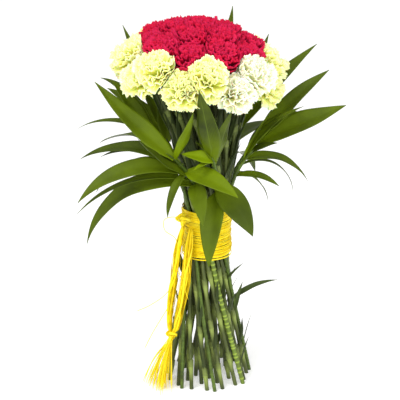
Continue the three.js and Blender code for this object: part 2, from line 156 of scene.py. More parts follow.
@dataclass
class Draft:
    """The vertices, quads and per-point values of one mesh, gathered from grids before it is written."""

    points: list[Array] = field(default_factory=list)
    quads: list[NDArray[np.int64]] = field(default_factory=list)
    triangles: list[NDArray[np.int64]] = field(default_factory=list)
    uvs: list[Array] = field(default_factory=list)
    shades: list[Array] = field(default_factory=list)
    faces: list[Array] = field(default_factory=list)
    size: int = 0

    def add_points(self, p: Array, uv: Array, shade: Array | float, face: Array | float) -> int:
        """Adds points with their values.

        Args:
            p: the points, (n, 3).
            uv: their place on the piece's own map, (n, 2).
            shade: their value of the shade attribute.
            face: their value of the face attribute.

        Returns:
            The index of the first of them.
        """
        first = self.size
        self.points.append(p)
        self.uvs.append(uv)
        self.shades.append(np.broadcast_to(np.asarray(shade, float), len(p)))
        self.faces.append(np.broadcast_to(np.asarray(face, float), len(p)))
        self.size += len(p)
        return first

    def tube(self, grid: Array, shade: Array | float = 0.5, closed: bool = False, cut_ends: bool = False) -> None:
        """Adds a tube whose rings are the grid's rows.

        Args:
            grid: the rings' points, (n, sides, 3), each ring anticlockwise seen from the line's far end.
            shade: the shade of all of it, or of each ring.
            closed: joins the last ring to the first; otherwise each end gets a cap with a middle point.
            cut_ends: marks the caps as cut faces, with points of their own.
        """
        n, sides = grid.shape[:2]
        ring_shade = np.repeat(np.broadcast_to(np.asarray(shade, float), n), sides)
        u, v = np.meshgrid(np.arange(sides) / sides, np.arange(n) / max(n - 1, 1))
        first = self.add_points(grid.reshape(-1, 3), np.stack([u, v], -1).reshape(-1, 2), ring_shade, 0.0)
        i = np.arange(n if closed else n - 1)[:, None]
        j = np.arange(sides)[None, :]
        nexti, nextj = (i + 1) % n, (j + 1) % sides
        quad = [i * sides + j, i * sides + nextj, nexti * sides + nextj, nexti * sides + j]
        self.quads.append(first + np.stack(np.broadcast_arrays(*quad), -1).reshape(-1, 4))
        if closed:
            return
        for row, turn in ((0, -1), (n - 1, 1)):
            ring = grid[row]
            rim = first + row * sides + np.arange(sides)
            value = float(ring_shade[row * sides])
            if cut_ends:
                rim = self.add_points(ring, np.full((sides, 2), 0.5), value, 1.0) + np.arange(sides)
            middle = self.add_points(ring.mean(0)[None], np.full((1, 2), 0.5), value, float(cut_ends))
            fan = np.stack([rim, np.roll(rim, -1), np.full(sides, middle)], -1)
            self.triangles.append(fan if turn > 0 else fan[:, ::-1])

    def sheets(self, grid: Array, normal: Array, thick: Array | float, shade: Array, uv: Array) -> None:
        """Adds thin closed sheets: each grid is doubled, half a thickness to either side, and joined round its rim.

        Args:
            grid: the middle surfaces, (sheets, across, along, 3).
            normal: their unit normals, on the side that is the upper face.
            thick: the thickness, for all or for each point.
            shade: one shade for each sheet.
            uv: the map's places, (sheets, across, along, 2).
        """
        count, a, b = grid.shape[:3]
        half = normal * (np.broadcast_to(np.asarray(thick, float), grid.shape[:3]) / 2)[..., None]
        both = np.stack([grid + half, grid - half], axis=1).reshape(count, 2 * a * b, 3)
        values = np.repeat(shade, 2 * a * b)
        side = np.tile(np.repeat([0.0, 1.0], a * b), count)
        maps = np.stack([uv, uv], axis=1).reshape(-1, 2)
        first = self.add_points(both.reshape(-1, 3), maps, values, side)
        i, j = np.meshgrid(np.arange(a - 1), np.arange(b - 1), indexing="ij")
        at = (i * b + j).ravel()
        top = np.stack([at, at + b, at + b + 1, at + 1], -1)
        under = top[:, ::-1] + a * b
        corner = np.concatenate([
            np.arange(a) * b, (a - 1) * b + np.arange(1, b),
            np.arange(a - 2, -1, -1) * b + b - 1, np.arange(b - 2, 0, -1),
        ])
        ahead = np.roll(corner, -1)
        rim = np.stack([corner, corner + a * b, ahead + a * b, ahead], -1)
        one = np.concatenate([top, under, rim])
        starts = first + np.arange(count) * 2 * a * b
        self.quads.append((one[None] + starts[:, None, None]).reshape(-1, 4))

    def write(self, name: str, material: bpy.types.Material, replaces: list[str], slot: str) -> bpy.types.Object:
        """Makes the object, in metres, hangs it on the body's empty and hides the solids that it stands for.

        Args:
            name: the piece's name.
            material: its finish.
            replaces: the solid nodes that it stands for.
            slot: the record's material slot of its finish; not used.

        Returns:
            The new object.
        """
        points = np.concatenate(self.points) * MM
        quads = np.concatenate(self.quads) if self.quads else np.zeros((0, 4), int)
        triangles = np.concatenate(self.triangles) if self.triangles else np.zeros((0, 3), int)
        corners = np.concatenate([quads.ravel(), triangles.ravel()])
        mesh = bpy.data.meshes.new(name)
        mesh.vertices.add(len(points))
        mesh.vertices.foreach_set("co", points.astype(np.float32).ravel())
        mesh.loops.add(len(corners))
        mesh.loops.foreach_set("vertex_index", corners.astype(np.int32))
        lengths = np.concatenate([np.full(len(quads), 4), np.full(len(triangles), 3)])
        mesh.polygons.add(len(lengths))
        mesh.polygons.foreach_set("loop_start", (np.cumsum(lengths) - lengths).astype(np.int32))
        mesh.polygons.foreach_set("use_smooth", np.ones(len(lengths), bool))
        mesh.uv_layers.new(name="piece")
        mesh.uv_layers["piece"].uv.foreach_set("vector", np.concatenate(self.uvs)[corners].astype(np.float32).ravel())
        for label, values in ((SHADE, self.shades), (FACE, self.faces)):
            layer = mesh.attributes.new(label, "FLOAT", "POINT")
            layer.data.foreach_set("value", np.concatenate(values).astype(np.float32))
        mesh.update(calc_edges=True)
        mesh.validate()
        piece = bpy.data.objects.new(name, mesh)
        bpy.context.scene.collection.objects.link(piece)
        mesh.materials.append(material)
        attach(piece, BODY)
        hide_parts(*replaces)
        log.info("%s: %d points, %d faces", name, len(points), len(lengths))
        return piece


# ---- Finishes ------------------------------------------------------------------------------------


def linear(colour: str) -> tuple[float, float, float, float]:
    """An sRGB hex colour as linear numbers.

    Args:
        colour: six hex digits after a hash.

    Returns:
        Red, green, blue and an alpha of 1.
    """
    parts = [int(colour[i : i + 2], 16) / 255 for i in (1, 3, 5)]
    r, g, b = (c / 12.92 if c <= 0.04045 else ((c + 0.055) / 1.055) ** 2.4 for c in parts)
    return r, g, b, 1.0


def add_node(tree: bpy.types.NodeTree, kind: str, inputs: dict | None = None, **settings: object) -> bpy.types.Node:
    """Adds a node with its settings, values and links.

    Args:
        tree: the material's tree.
        kind: the node's type name.
        inputs: a value or another node's output for each named or numbered input.
        **settings: the node's own properties; "stops" gives a colour ramp its places and colours.

    Returns:
        The new node.
    """
    made = tree.nodes.new(kind)
    stops = settings.pop("stops", None)
    for key, value in settings.items():
        setattr(made, key, value)
    for key, value in (inputs or {}).items():
        if isinstance(value, bpy.types.NodeSocket):
            tree.links.new(value, made.inputs[key])
        else:
            made.inputs[key].default_value = value
    if stops:
        ramp = made.color_ramp.elements
        while len(ramp) < len(stops):
            ramp.new(1.0)
        for element, (place, colour) in zip(ramp, stops):
            element.position, element.color = place, linear(colour)
    return made


def new_tree(name: str) -> tuple[bpy.types.Material, bpy.types.NodeTree]:
    """An empty node material.

    Args:
        name: the material's name.

    Returns:
        The material and its tree, with no nodes.
    """
    material = bpy.data.materials.new(name)
    material.use_nodes = True
    material.node_tree.nodes.clear()
    return material, material.node_tree


def dress(
    tree: bpy.types.NodeTree, colour: bpy.types.NodeSocket, height: bpy.types.NodeSocket, strength: float,
    depth_mm: float, **surface: object,
) -> None:
    """Ends a material: a bump, the surface shader that it tilts, and the output.

    Args:
        tree: the material's tree.
        colour: the surface's colour.
        height: what raises the bump.
        strength: how strongly it shows.
        depth_mm: its depth.
        **surface: the shader's other inputs, named with underscores for spaces.
    """
    bump = add_node(tree, "ShaderNodeBump", {"Height": height, "Strength": strength, "Distance": depth_mm * MM})
    inputs = {key.replace("_", " "): value for key, value in surface.items()}
    inputs |= {"Base Color": colour, "Normal": bump.outputs["Normal"]}
    skin = add_node(tree, "ShaderNodeBsdfPrincipled", inputs)
    add_node(tree, "ShaderNodeOutputMaterial", {"Surface": skin.outputs["BSDF"]})


@dataclass(frozen=True)
class PetalFinish:
    """Living petal tissue: thin, matt and velvety, with deep colour where light passes through several layers.

    The colour runs from the petal's claw to its pinked margin, differs a little from petal to petal, and the
    surface has the fine crimp of a petal that was folded in its bud. The dark claw is painted shade deep in the
    flower, and the light margin is a painted highlight where light catches the edges. On the cream petals the
    claw's yellow-green is partly their own colour.
    """

    name: str
    claw: str
    body: str
    blade: str
    margin: str
    patch: str  # the colour that some petals drift towards at random; on the red petals it is also a pinker painted highlight
    patch_share: float
    crimp_mm: float = 1.6
    roughness: float = 0.62

    def material(self) -> bpy.types.Material:
        """Builds the node material.

        Returns:
            The material.
        """
        material, tree = new_tree(self.name)
        uv = add_node(tree, "ShaderNodeUVMap", uv_map="piece").outputs["UV"]
        along = add_node(tree, "ShaderNodeSeparateXYZ", {0: uv}).outputs["Y"]
        shade = add_node(tree, "ShaderNodeAttribute", attribute_name=SHADE).outputs["Fac"]
        place = add_node(tree, "ShaderNodeTexCoord").outputs["Object"]
        fine = 1 / (self.crimp_mm * MM)
        crimp = add_node(tree, "ShaderNodeTexNoise", {"Vector": place, "Scale": fine, "Detail": 3.0})
        shift = add_node(tree, "ShaderNodeMath", {0: crimp.outputs["Fac"], 1: 0.16}, operation="MULTIPLY")
        moved = add_node(tree, "ShaderNodeMath", {0: along, 1: shift.outputs[0]}, operation="ADD")
        centred = add_node(tree, "ShaderNodeMath", {0: moved.outputs[0], 1: 0.08}, operation="SUBTRACT")
        # Painted shade darkens the ramp towards the claw, deep in the flower, and a painted highlight lightens it at
        # the margin.
        ramp = add_node(
            tree, "ShaderNodeValToRGB", {0: centred.outputs[0]},
            stops=[(0.0, self.claw), (0.55, self.body), (0.86, self.blade), (1.0, self.margin)],
        )
        # On the red petals the random drift towards the patch colour is also a painted highlight.
        drift = add_node(tree, "ShaderNodeMath", {0: shade, 1: self.patch_share}, operation="MULTIPLY")
        tint = add_node(
            tree, "ShaderNodeMix", {0: drift.outputs[0], 6: ramp.outputs["Color"], 7: linear(self.patch)},
            data_type="RGBA",
        )
        dress(
            tree, tint.outputs[2], crimp.outputs["Fac"], 0.35, 0.4, Roughness=self.roughness,
            Specular_IOR_Level=0.1, Subsurface_Weight=0.25, Subsurface_Scale=2 * MM,
        )
        return material


@dataclass(frozen=True)
class BladeFinish:
    """A waxed leaf blade: glossy above, paler and duller beneath, with fine parallel veins from base to tip."""

    name: str
    deep: str
    bright: str
    underside: str
    rib: str
    veins: int = 15
    gloss: float = 0.3

    def material(self) -> bpy.types.Material:
        """Builds the node material.

        Returns:
            The material.
        """
        material, tree = new_tree(self.name)
        uv = add_node(tree, "ShaderNodeUVMap", uv_map="piece").outputs["UV"]
        split = add_node(tree, "ShaderNodeSeparateXYZ", {0: uv})
        across, along = split.outputs["X"], split.outputs["Y"]
        shade = add_node(tree, "ShaderNodeAttribute", attribute_name=SHADE).outputs["Fac"]
        below = add_node(tree, "ShaderNodeAttribute", attribute_name=FACE).outputs["Fac"]
        place = add_node(tree, "ShaderNodeTexCoord").outputs["Object"]
        cloud = add_node(tree, "ShaderNodeTexNoise", {"Vector": place, "Scale": 1 / (26 * MM), "Detail": 4.0})
        # Veins: a sine across the blade, bent a little by noise so that no two run quite true.
        warp = add_node(tree, "ShaderNodeMath", {0: cloud.outputs["Fac"], 1: 0.06}, operation="MULTIPLY")
        bent = add_node(tree, "ShaderNodeMath", {0: across, 1: warp.outputs[0]}, operation="ADD")
        turns = 2 * math.pi * self.veins
        phase = add_node(tree, "ShaderNodeMath", {0: bent.outputs[0], 1: turns}, operation="MULTIPLY")
        vein = add_node(tree, "ShaderNodeMath", {0: phase.outputs[0]}, operation="SINE")
        middle = add_node(tree, "ShaderNodeMath", {0: across, 1: 0.5}, operation="SUBTRACT")
        off = add_node(tree, "ShaderNodeMath", {0: middle.outputs[0]}, operation="ABSOLUTE")
        rib = add_node(
            tree, "ShaderNodeMapRange", {0: off.outputs[0], 1: 0.0, 2: 0.035, 3: 1.0, 4: 0.0},
            interpolation_type="SMOOTHSTEP",
        )
        # Brighter near the clasping base, and where a leaf is young.
        base = add_node(tree, "ShaderNodeMapRange", {0: along, 1: 0.0, 2: 0.5, 3: 0.5, 4: 0.0})
        young = add_node(tree, "ShaderNodeMath", {0: shade, 1: base.outputs[0]}, operation="ADD")
        mottle = add_node(tree, "ShaderNodeMath", {0: cloud.outputs["Fac"], 1: 0.5}, operation="MULTIPLY")
        light = add_node(tree, "ShaderNodeMath", {0: young.outputs[0], 1: mottle.outputs[0]}, operation="ADD")
        eased = add_node(tree, "ShaderNodeMath", {0: light.outputs[0], 1: 0.25}, operation="SUBTRACT", use_clamp=True)
        upper, lower = (
            add_node(
                tree, "ShaderNodeMix", {0: eased.outputs[0], 6: linear(old), 7: linear(self.bright)}, data_type="RGBA"
            )
            for old in (self.deep, self.underside)
        )
        # Over the upper face lie the veins, the midrib and the thin pale rim, all in the midrib's colour. The rim is
        # partly the leaf's own yellowish margin and partly a painted highlight where the edges catch light.
        veins = add_node(tree, "ShaderNodeMapRange", {0: vein.outputs[0], 1: -1.0, 2: 1.0, 3: 0.0, 4: 0.16})
        midrib = add_node(tree, "ShaderNodeMath", {0: rib.outputs[0], 1: 0.45}, operation="MULTIPLY")
        rim_tint_and_highlight = add_node(tree, "ShaderNodeMapRange", {0: off.outputs[0], 1: 0.46, 2: 0.5, 3: 0.0, 4: 0.55})
        for share in (veins, midrib, rim_tint_and_highlight):
            upper = add_node(
                tree, "ShaderNodeMix", {0: share.outputs[0], 6: upper.outputs[2], 7: linear(self.rib)},
                data_type="RGBA",
            )
        both = add_node(
            tree, "ShaderNodeMix", {0: below, 6: upper.outputs[2], 7: lower.outputs[2]}, data_type="RGBA"
        )
        dull = add_node(tree, "ShaderNodeMapRange", {0: below, 1: 0.0, 2: 1.0, 3: self.gloss, 4: self.gloss + 0.25})
        dress(
            tree, both.outputs[2], vein.outputs[0], 0.25, 0.15, Roughness=dull.outputs[0], Specular_IOR_Level=0.13
        )
        return material


@dataclass(frozen=True)
class StemFinish:
    """A cut green stem: grey wax over green, paler at the swollen nodes, and pale pith where it was cut."""

    name: str
    deep: str
    green: str
    node: str
    pith: str
    streak_mm: float = 2.2

    def material(self) -> bpy.types.Material:
        """Builds the node material; the shade attribute is 1 at a node and 0 half way between two.

        Returns:
            The material.
        """
        material, tree = new_tree(self.name)
        place = add_node(tree, "ShaderNodeTexCoord").outputs["Object"]
        shade = add_node(tree, "ShaderNodeAttribute", attribute_name=SHADE).outputs["Fac"]
        cut = add_node(tree, "ShaderNodeAttribute", attribute_name=FACE).outputs["Fac"]
        drawn = add_node(tree, "ShaderNodeMapping", {"Vector": place, "Scale": (1.0, 1.0, 0.07)})
        fine = 1 / (self.streak_mm * MM)
        streaks = add_node(
            tree, "ShaderNodeTexNoise", {"Vector": drawn.outputs["Vector"], "Scale": fine, "Detail": 4.0}
        )
        patches = add_node(tree, "ShaderNodeTexNoise", {"Vector": place, "Scale": 1 / (30 * MM), "Detail": 2.0})
        mixed = add_node(
            tree, "ShaderNodeMath", {0: streaks.outputs["Fac"], 1: patches.outputs["Fac"]}, operation="ADD"
        )
        tone = add_node(tree, "ShaderNodeMapRange", {0: mixed.outputs[0], 1: 0.75, 2: 1.25})
        body = add_node(
            tree, "ShaderNodeMix", {0: tone.outputs[0], 6: linear(self.deep), 7: linear(self.green)}, data_type="RGBA"
        )
        for share, colour in ((shade, self.node), (cut, self.pith)):
            body = add_node(
                tree, "ShaderNodeMix", {0: share, 6: body.outputs[2], 7: linear(colour)}, data_type="RGBA"
            )
        dress(tree, body.outputs[2], streaks.outputs["Fac"], 0.4, 0.3, Roughness=0.5, Specular_IOR_Level=0.3)
        return material


@dataclass(frozen=True)
class RaffiaFinish:
    """Dyed raffia: dry palm fibre torn into ribbons, with a soft lengthwise sheen and uneven dye."""

    name: str
    shadow: str
    dye: str
    pale: str

    def material(self) -> bpy.types.Material:
        """Builds the node material; the fibres run along the ribbon, which is the map's second direction.

        Returns:
            The material.
        """
        material, tree = new_tree(self.name)
        uv = add_node(tree, "ShaderNodeUVMap", uv_map="piece").outputs["UV"]
        shade = add_node(tree, "ShaderNodeAttribute", attribute_name=SHADE).outputs["Fac"]
        place = add_node(tree, "ShaderNodeTexCoord").outputs["Object"]
        drawn = add_node(tree, "ShaderNodeMapping", {"Vector": uv, "Scale": (9.0, 1.5, 1.0)})
        fibre = add_node(tree, "ShaderNodeTexNoise", {"Vector": drawn.outputs["Vector"], "Scale": 2.0, "Detail": 3.0})
        dyed = add_node(tree, "ShaderNodeTexNoise", {"Vector": place, "Scale": 1 / (9 * MM), "Detail": 2.0})
        sum_up = add_node(tree, "ShaderNodeMath", {0: fibre.outputs["Fac"], 1: dyed.outputs["Fac"]}, operation="ADD")
        with_shade = add_node(tree, "ShaderNodeMath", {0: sum_up.outputs[0], 1: shade}, operation="ADD")
        tone = add_node(tree, "ShaderNodeMapRange", {0: with_shade.outputs[0], 1: 0.9, 2: 2.1})
        ramp = add_node(
            tree, "ShaderNodeValToRGB", {0: tone.outputs[0]},
            stops=[(0.0, self.shadow), (0.45, self.dye), (1.0, self.pale)],
        )
        dress(tree, ramp.outputs["Color"], fibre.outputs["Fac"], 0.5, 0.3, Roughness=0.55, Specular_IOR_Level=0.2)
        return material


# Each finish runs from painted shade at the claw to a painted highlight at the margin, though the cream claws are
# partly their own yellow-green; the red patch is also a painted highlight.
RED_PETAL = PetalFinish("red carnation petal", "#2c0006", "#64000e", "#a00422", "#cc143e", "#c82c60", 0.42)
CREAM_PETAL = PetalFinish(
    "cream carnation petal", "#dce248", "#eef070", "#f6f6a2", "#fcfccc", "#f0f284", 0.5, crimp_mm=2.4
)
PALE_PETAL = PetalFinish(
    "pale carnation petal", "#e6ea7c", "#f2f2b0", "#f6f5d4", "#f9f8ea", "#f4f4c4", 0.5, crimp_mm=2.4
)
PALE_BLOOMS = (2, 3)  # two cream flowers, on the front right, that take the paler copy of the cream colours
CALYX_SKIN = StemFinish("carnation calyx skin", "#35501f", "#55772f", "#86a04e", "#b9c98a")
STEM_SKIN = StemFinish("waxy carnation stem", "#2c3416", "#505a2a", "#8c9c4c", "#bccb82")
CANE_SKIN = StemFinish("ringed dracaena cane", "#2e3c10", "#4e6420", "#98ae40", "#bccb82")
LEAF_SKIN = BladeFinish("dracaena leaf", "#161e02", "#748a04", "#3c4a0a", "#667c1e", gloss=0.32)
GRASS_SKIN = BladeFinish("carnation stem leaf", "#20290e", "#3d4a20", "#4a5830", "#66744a", veins=5, gloss=0.5)
RAFFIA_SKIN = RaffiaFinish("yellow raffia", "#c49a00", "#f0d400", "#f2e034")


# ---- The lay of the bundle -----------------------------------------------------------------------


class Ring(Enum):
    """The rings of flowers, from the middle out."""

    MIDDLE = 0
    CORE = 1
    INNER = 2
    OUTER = 3


@dataclass(frozen=True)
class RingPlan:
    """One ring of flowers in the waist of the bundle."""

    ring: Ring
    colour: str
    count: int
    radius: float
    phase: float
    flare: float  # extra opening under the blooms
    drop: tuple[float, ...]  # how far the calyx feet are below the topmost one
    nod: tuple[float, ...]  # how far the heads lean out


@dataclass
class Flower:
    """One carnation: its place in the rings, and where its head stands and looks."""

    plan: RingPlan
    index: int
    number: int  # counted within its colour, from 1
    foot: Array
    axis: Array
    centre: Array


@dataclass
class Bundle:
    """How the stems lie: tightest at the waist, spiralling and opening both ways from there."""

    waist_z: float = 231.0
    dome_z: float = 486.0
    splay: float = 0.0085
    twist: float = -0.006
    red_flare: float = 0.33
    cream_flare: float = 0.22
    flare_rise: float = 230.0
    lean: float = -12.0
    press_reach: float = 72.9
    press_share: float = 0.76
    stem_d: float = 6.8
    cane_d: float = 5.8
    cane_top_z: float = 366.0
    cane_flare: float = 0.62
    band_bottom_z: float = 195.0
    band_top_z: float = 268.0
    bloom_r: float = 31.0
    head_centre_h: float = 38.0
    dome_tilt: float = 5.0
    axis_xy: tuple[float, float] = (0.0, 0.0)  # where the bundle's axis stands in the row frame

    def __post_init__(self) -> None:
        """Works out the rings' radii from the stem's thickness."""
        self.core_r = self.stem_d + 1.6
        self.inner_r = self.core_r + self.stem_d + 2
        self.outer_r = self.inner_r + self.stem_d + 3
        self.cane_r = self.outer_r + 2.5
        red, cream = self.red_flare, self.cream_flare
        self.plans = (
            RingPlan(Ring.MIDDLE, "red", 1, 0.0, 0.0, red, (0.0,), (0.0,)),
            RingPlan(Ring.CORE, "red", 5, self.core_r, 10.0, red, (5.0,), (9.0,)),
            RingPlan(Ring.INNER, "red", 10, self.inner_r, -12.0, red, (16.0, 20.0), (19.0, 22.0)),
            RingPlan(Ring.OUTER, "cream", 16, self.outer_r, -31.3, cream, (24.0, 40.0), (35.0, 46.0)),
        )

    def opening(self, z: Array | float, flare: float | None = None) -> Array:
        """How many times wider than at the waist the bundle is: a hyperbola, then a parabola's flare.

        Args:
            z: the height.
            flare: the ring's own flare, if it isn't the red one.

        Returns:
            The opening at that height.
        """
        rise = np.asarray(z, float) - self.waist_z
        flare = self.red_flare if flare is None else flare
        return np.hypot(1, self.splay * rise) * (1 + flare * (np.maximum(rise, 0) / self.flare_rise) ** 2)

    def centre_line(self, z: Array | float) -> Array:
        """The bundle's middle: it leans over by a parabola above the tie.

        Args:
            z: the height.

        Returns:
            Points in the row frame.
        """
        z = np.asarray(z, float)
        leant = self.lean * (np.maximum(z - self.band_top_z, 0) / (self.dome_z - self.band_top_z)) ** 2
        return np.stack([leant + self.axis_xy[0], np.full_like(z, self.axis_xy[1]), z], -1)

    def point(
        self, radius: Array | float, angle: Array | float, z: Array | float, flare: float | None = None
    ) -> Array:
        """Points of the waist carried to a height: scaled by the opening and turned by atan(twist x rise).

        Args:
            radius: distance from the axis in the waist.
            angle: direction in the waist, in degrees.
            z: the height.
            flare: the ring's own flare, if it isn't the red one.

        Returns:
            Points in the row frame, in millimetres.
        """
        z = np.asarray(z, float)
        r = radius * self.opening(z, flare)
        turned = np.radians(angle) + np.arctan(self.twist * (z - self.waist_z))
        return self.centre_line(z) + np.stack([r * np.cos(turned), r * np.sin(turned), np.zeros_like(z)], -1)

    def stem(self, plan: RingPlan, index: int, z: Array | float) -> Array:
        """Points of a flower stem. The tie presses it onto a neighbour, by a bell curve in height.

        Args:
            plan: the ring that it stands in.
            index: its place in the ring, from 0.
            z: the heights.

        Returns:
            Points in the row frame.
        """
        z = np.asarray(z, float)
        press = np.exp(-(((z - self.waist_z) / self.press_reach) ** 2))
        pressed = self.press_share * self.stem_d
        step = 360 / plan.count
        angle = plan.phase + step * index
        if plan.ring is Ring.MIDDLE:
            return self.point(0.0, 0.0, z)
        if plan.ring is Ring.CORE:
            return self.point(plan.radius + (pressed - plan.radius) * press, angle, z, plan.flare)
        half_pressed = math.degrees(math.asin(pressed / 2 / plan.radius))
        lean = (step / 2 - half_pressed) * press * (1 if index % 2 == 0 else -1)
        return self.point(plan.radius, angle + lean, z, plan.flare)

    def cane(self, angle: float, z: Array | float) -> Array:
        """Points of a dracaena cane; above the tie it leans out by a further parabola.

        Args:
            angle: its direction in the waist.
            z: the heights.

        Returns:
            Points in the row frame.
        """
        above = np.maximum(np.asarray(z, float) - self.band_top_z, 0) / (self.cane_top_z - self.band_top_z)
        return self.point(self.cane_r * (1 + self.cane_flare * above**2), angle, z)

    def outer_radius(self, z: Array | float) -> Array:
        """The distance from the axis to the outside of the outermost stems."""
        return self.cane_r * self.opening(z) + self.cane_d / 2

    def towards(self, angle: Array | float, r: Array | float, z: Array | float) -> Array:
        """Points at an angle and distance from the bundle's axis.

        Args:
            angle: the direction from the axis, in degrees.
            r: the distance from it.
            z: the height.

        Returns:
            Points in the row frame.
        """
        a = np.radians(angle)
        x, y, z = np.broadcast_arrays(r * np.cos(a) + self.axis_xy[0], r * np.sin(a) + self.axis_xy[1], z)
        return np.stack([x, y, z], -1)

    def flowers(self) -> list[Flower]:
        """Places every carnation's head on the dome.

        Returns:
            The flowers, ring by ring.
        """
        made: list[Flower] = []
        tilt = math.radians(self.dome_tilt)
        lean = np.array([[math.cos(tilt), 0, math.sin(tilt)], [0, 1, 0], [-math.sin(tilt), 0, math.cos(tilt)]])
        for plan in self.plans:
            for i in range(plan.count):
                nod = math.radians(plan.nod[i % len(plan.nod)])
                lift = self.dome_z - plan.drop[i % len(plan.drop)]
                level = self.stem(plan, i, lift) - self.centre_line(lift)
                foot = self.stem(plan, i, lift - math.tan(tilt) * level[0])
                out = unit((foot - self.centre_line(foot[2])) * [1, 1, 0])
                axis = unit(lean @ (out * math.sin(nod) + np.array([0, 0, math.cos(nod)])))
                number = 1 + sum(f.plan.colour == plan.colour for f in made)
                made.append(Flower(plan, i, number, foot, axis, foot + axis * self.head_centre_h))
        return made


# ---- Blooms --------------------------------------------------------------------------------------


@dataclass(frozen=True)
class Habit:
    """How the petals of one colour of carnation are formed."""

    whorls: tuple[tuple[int, float, float], ...]  # petals, degrees from the axis, half width
    squareness: float  # the exponent of the head's outline: 2 is an ellipse, more is flatter on top
    ruffle: float
    crimp: float
    pinking: float
    waves: tuple[float, float]
    reach: tuple[float, float]  # the shortest and longest petal, as a share of the outline
    head_high: float = 25.0


TIGHT = Habit(
    ((3, 6, 7.0), (5, 18, 9.0), (7, 31, 11.0), (9, 44, 12.5), (8, 58, 14.0), (6, 75, 16.0), (5, 95, 17.0)),
    squareness=6.0, ruffle=3.0, crimp=1.2, pinking=1.2, waves=(1.9, 3.0), reach=(1.0, 1.18),
)
OPEN = Habit(
    ((4, 8, 8.0), (6, 24, 11.0), (8, 42, 14.0), (9, 60, 16.5), (8, 79, 18.0), (6, 99, 18.5)),
    squareness=3.0, ruffle=4.8, crimp=1.3, pinking=1.5, waves=(1.7, 3.0), reach=(0.94, 1.32), head_high=19.0,
)


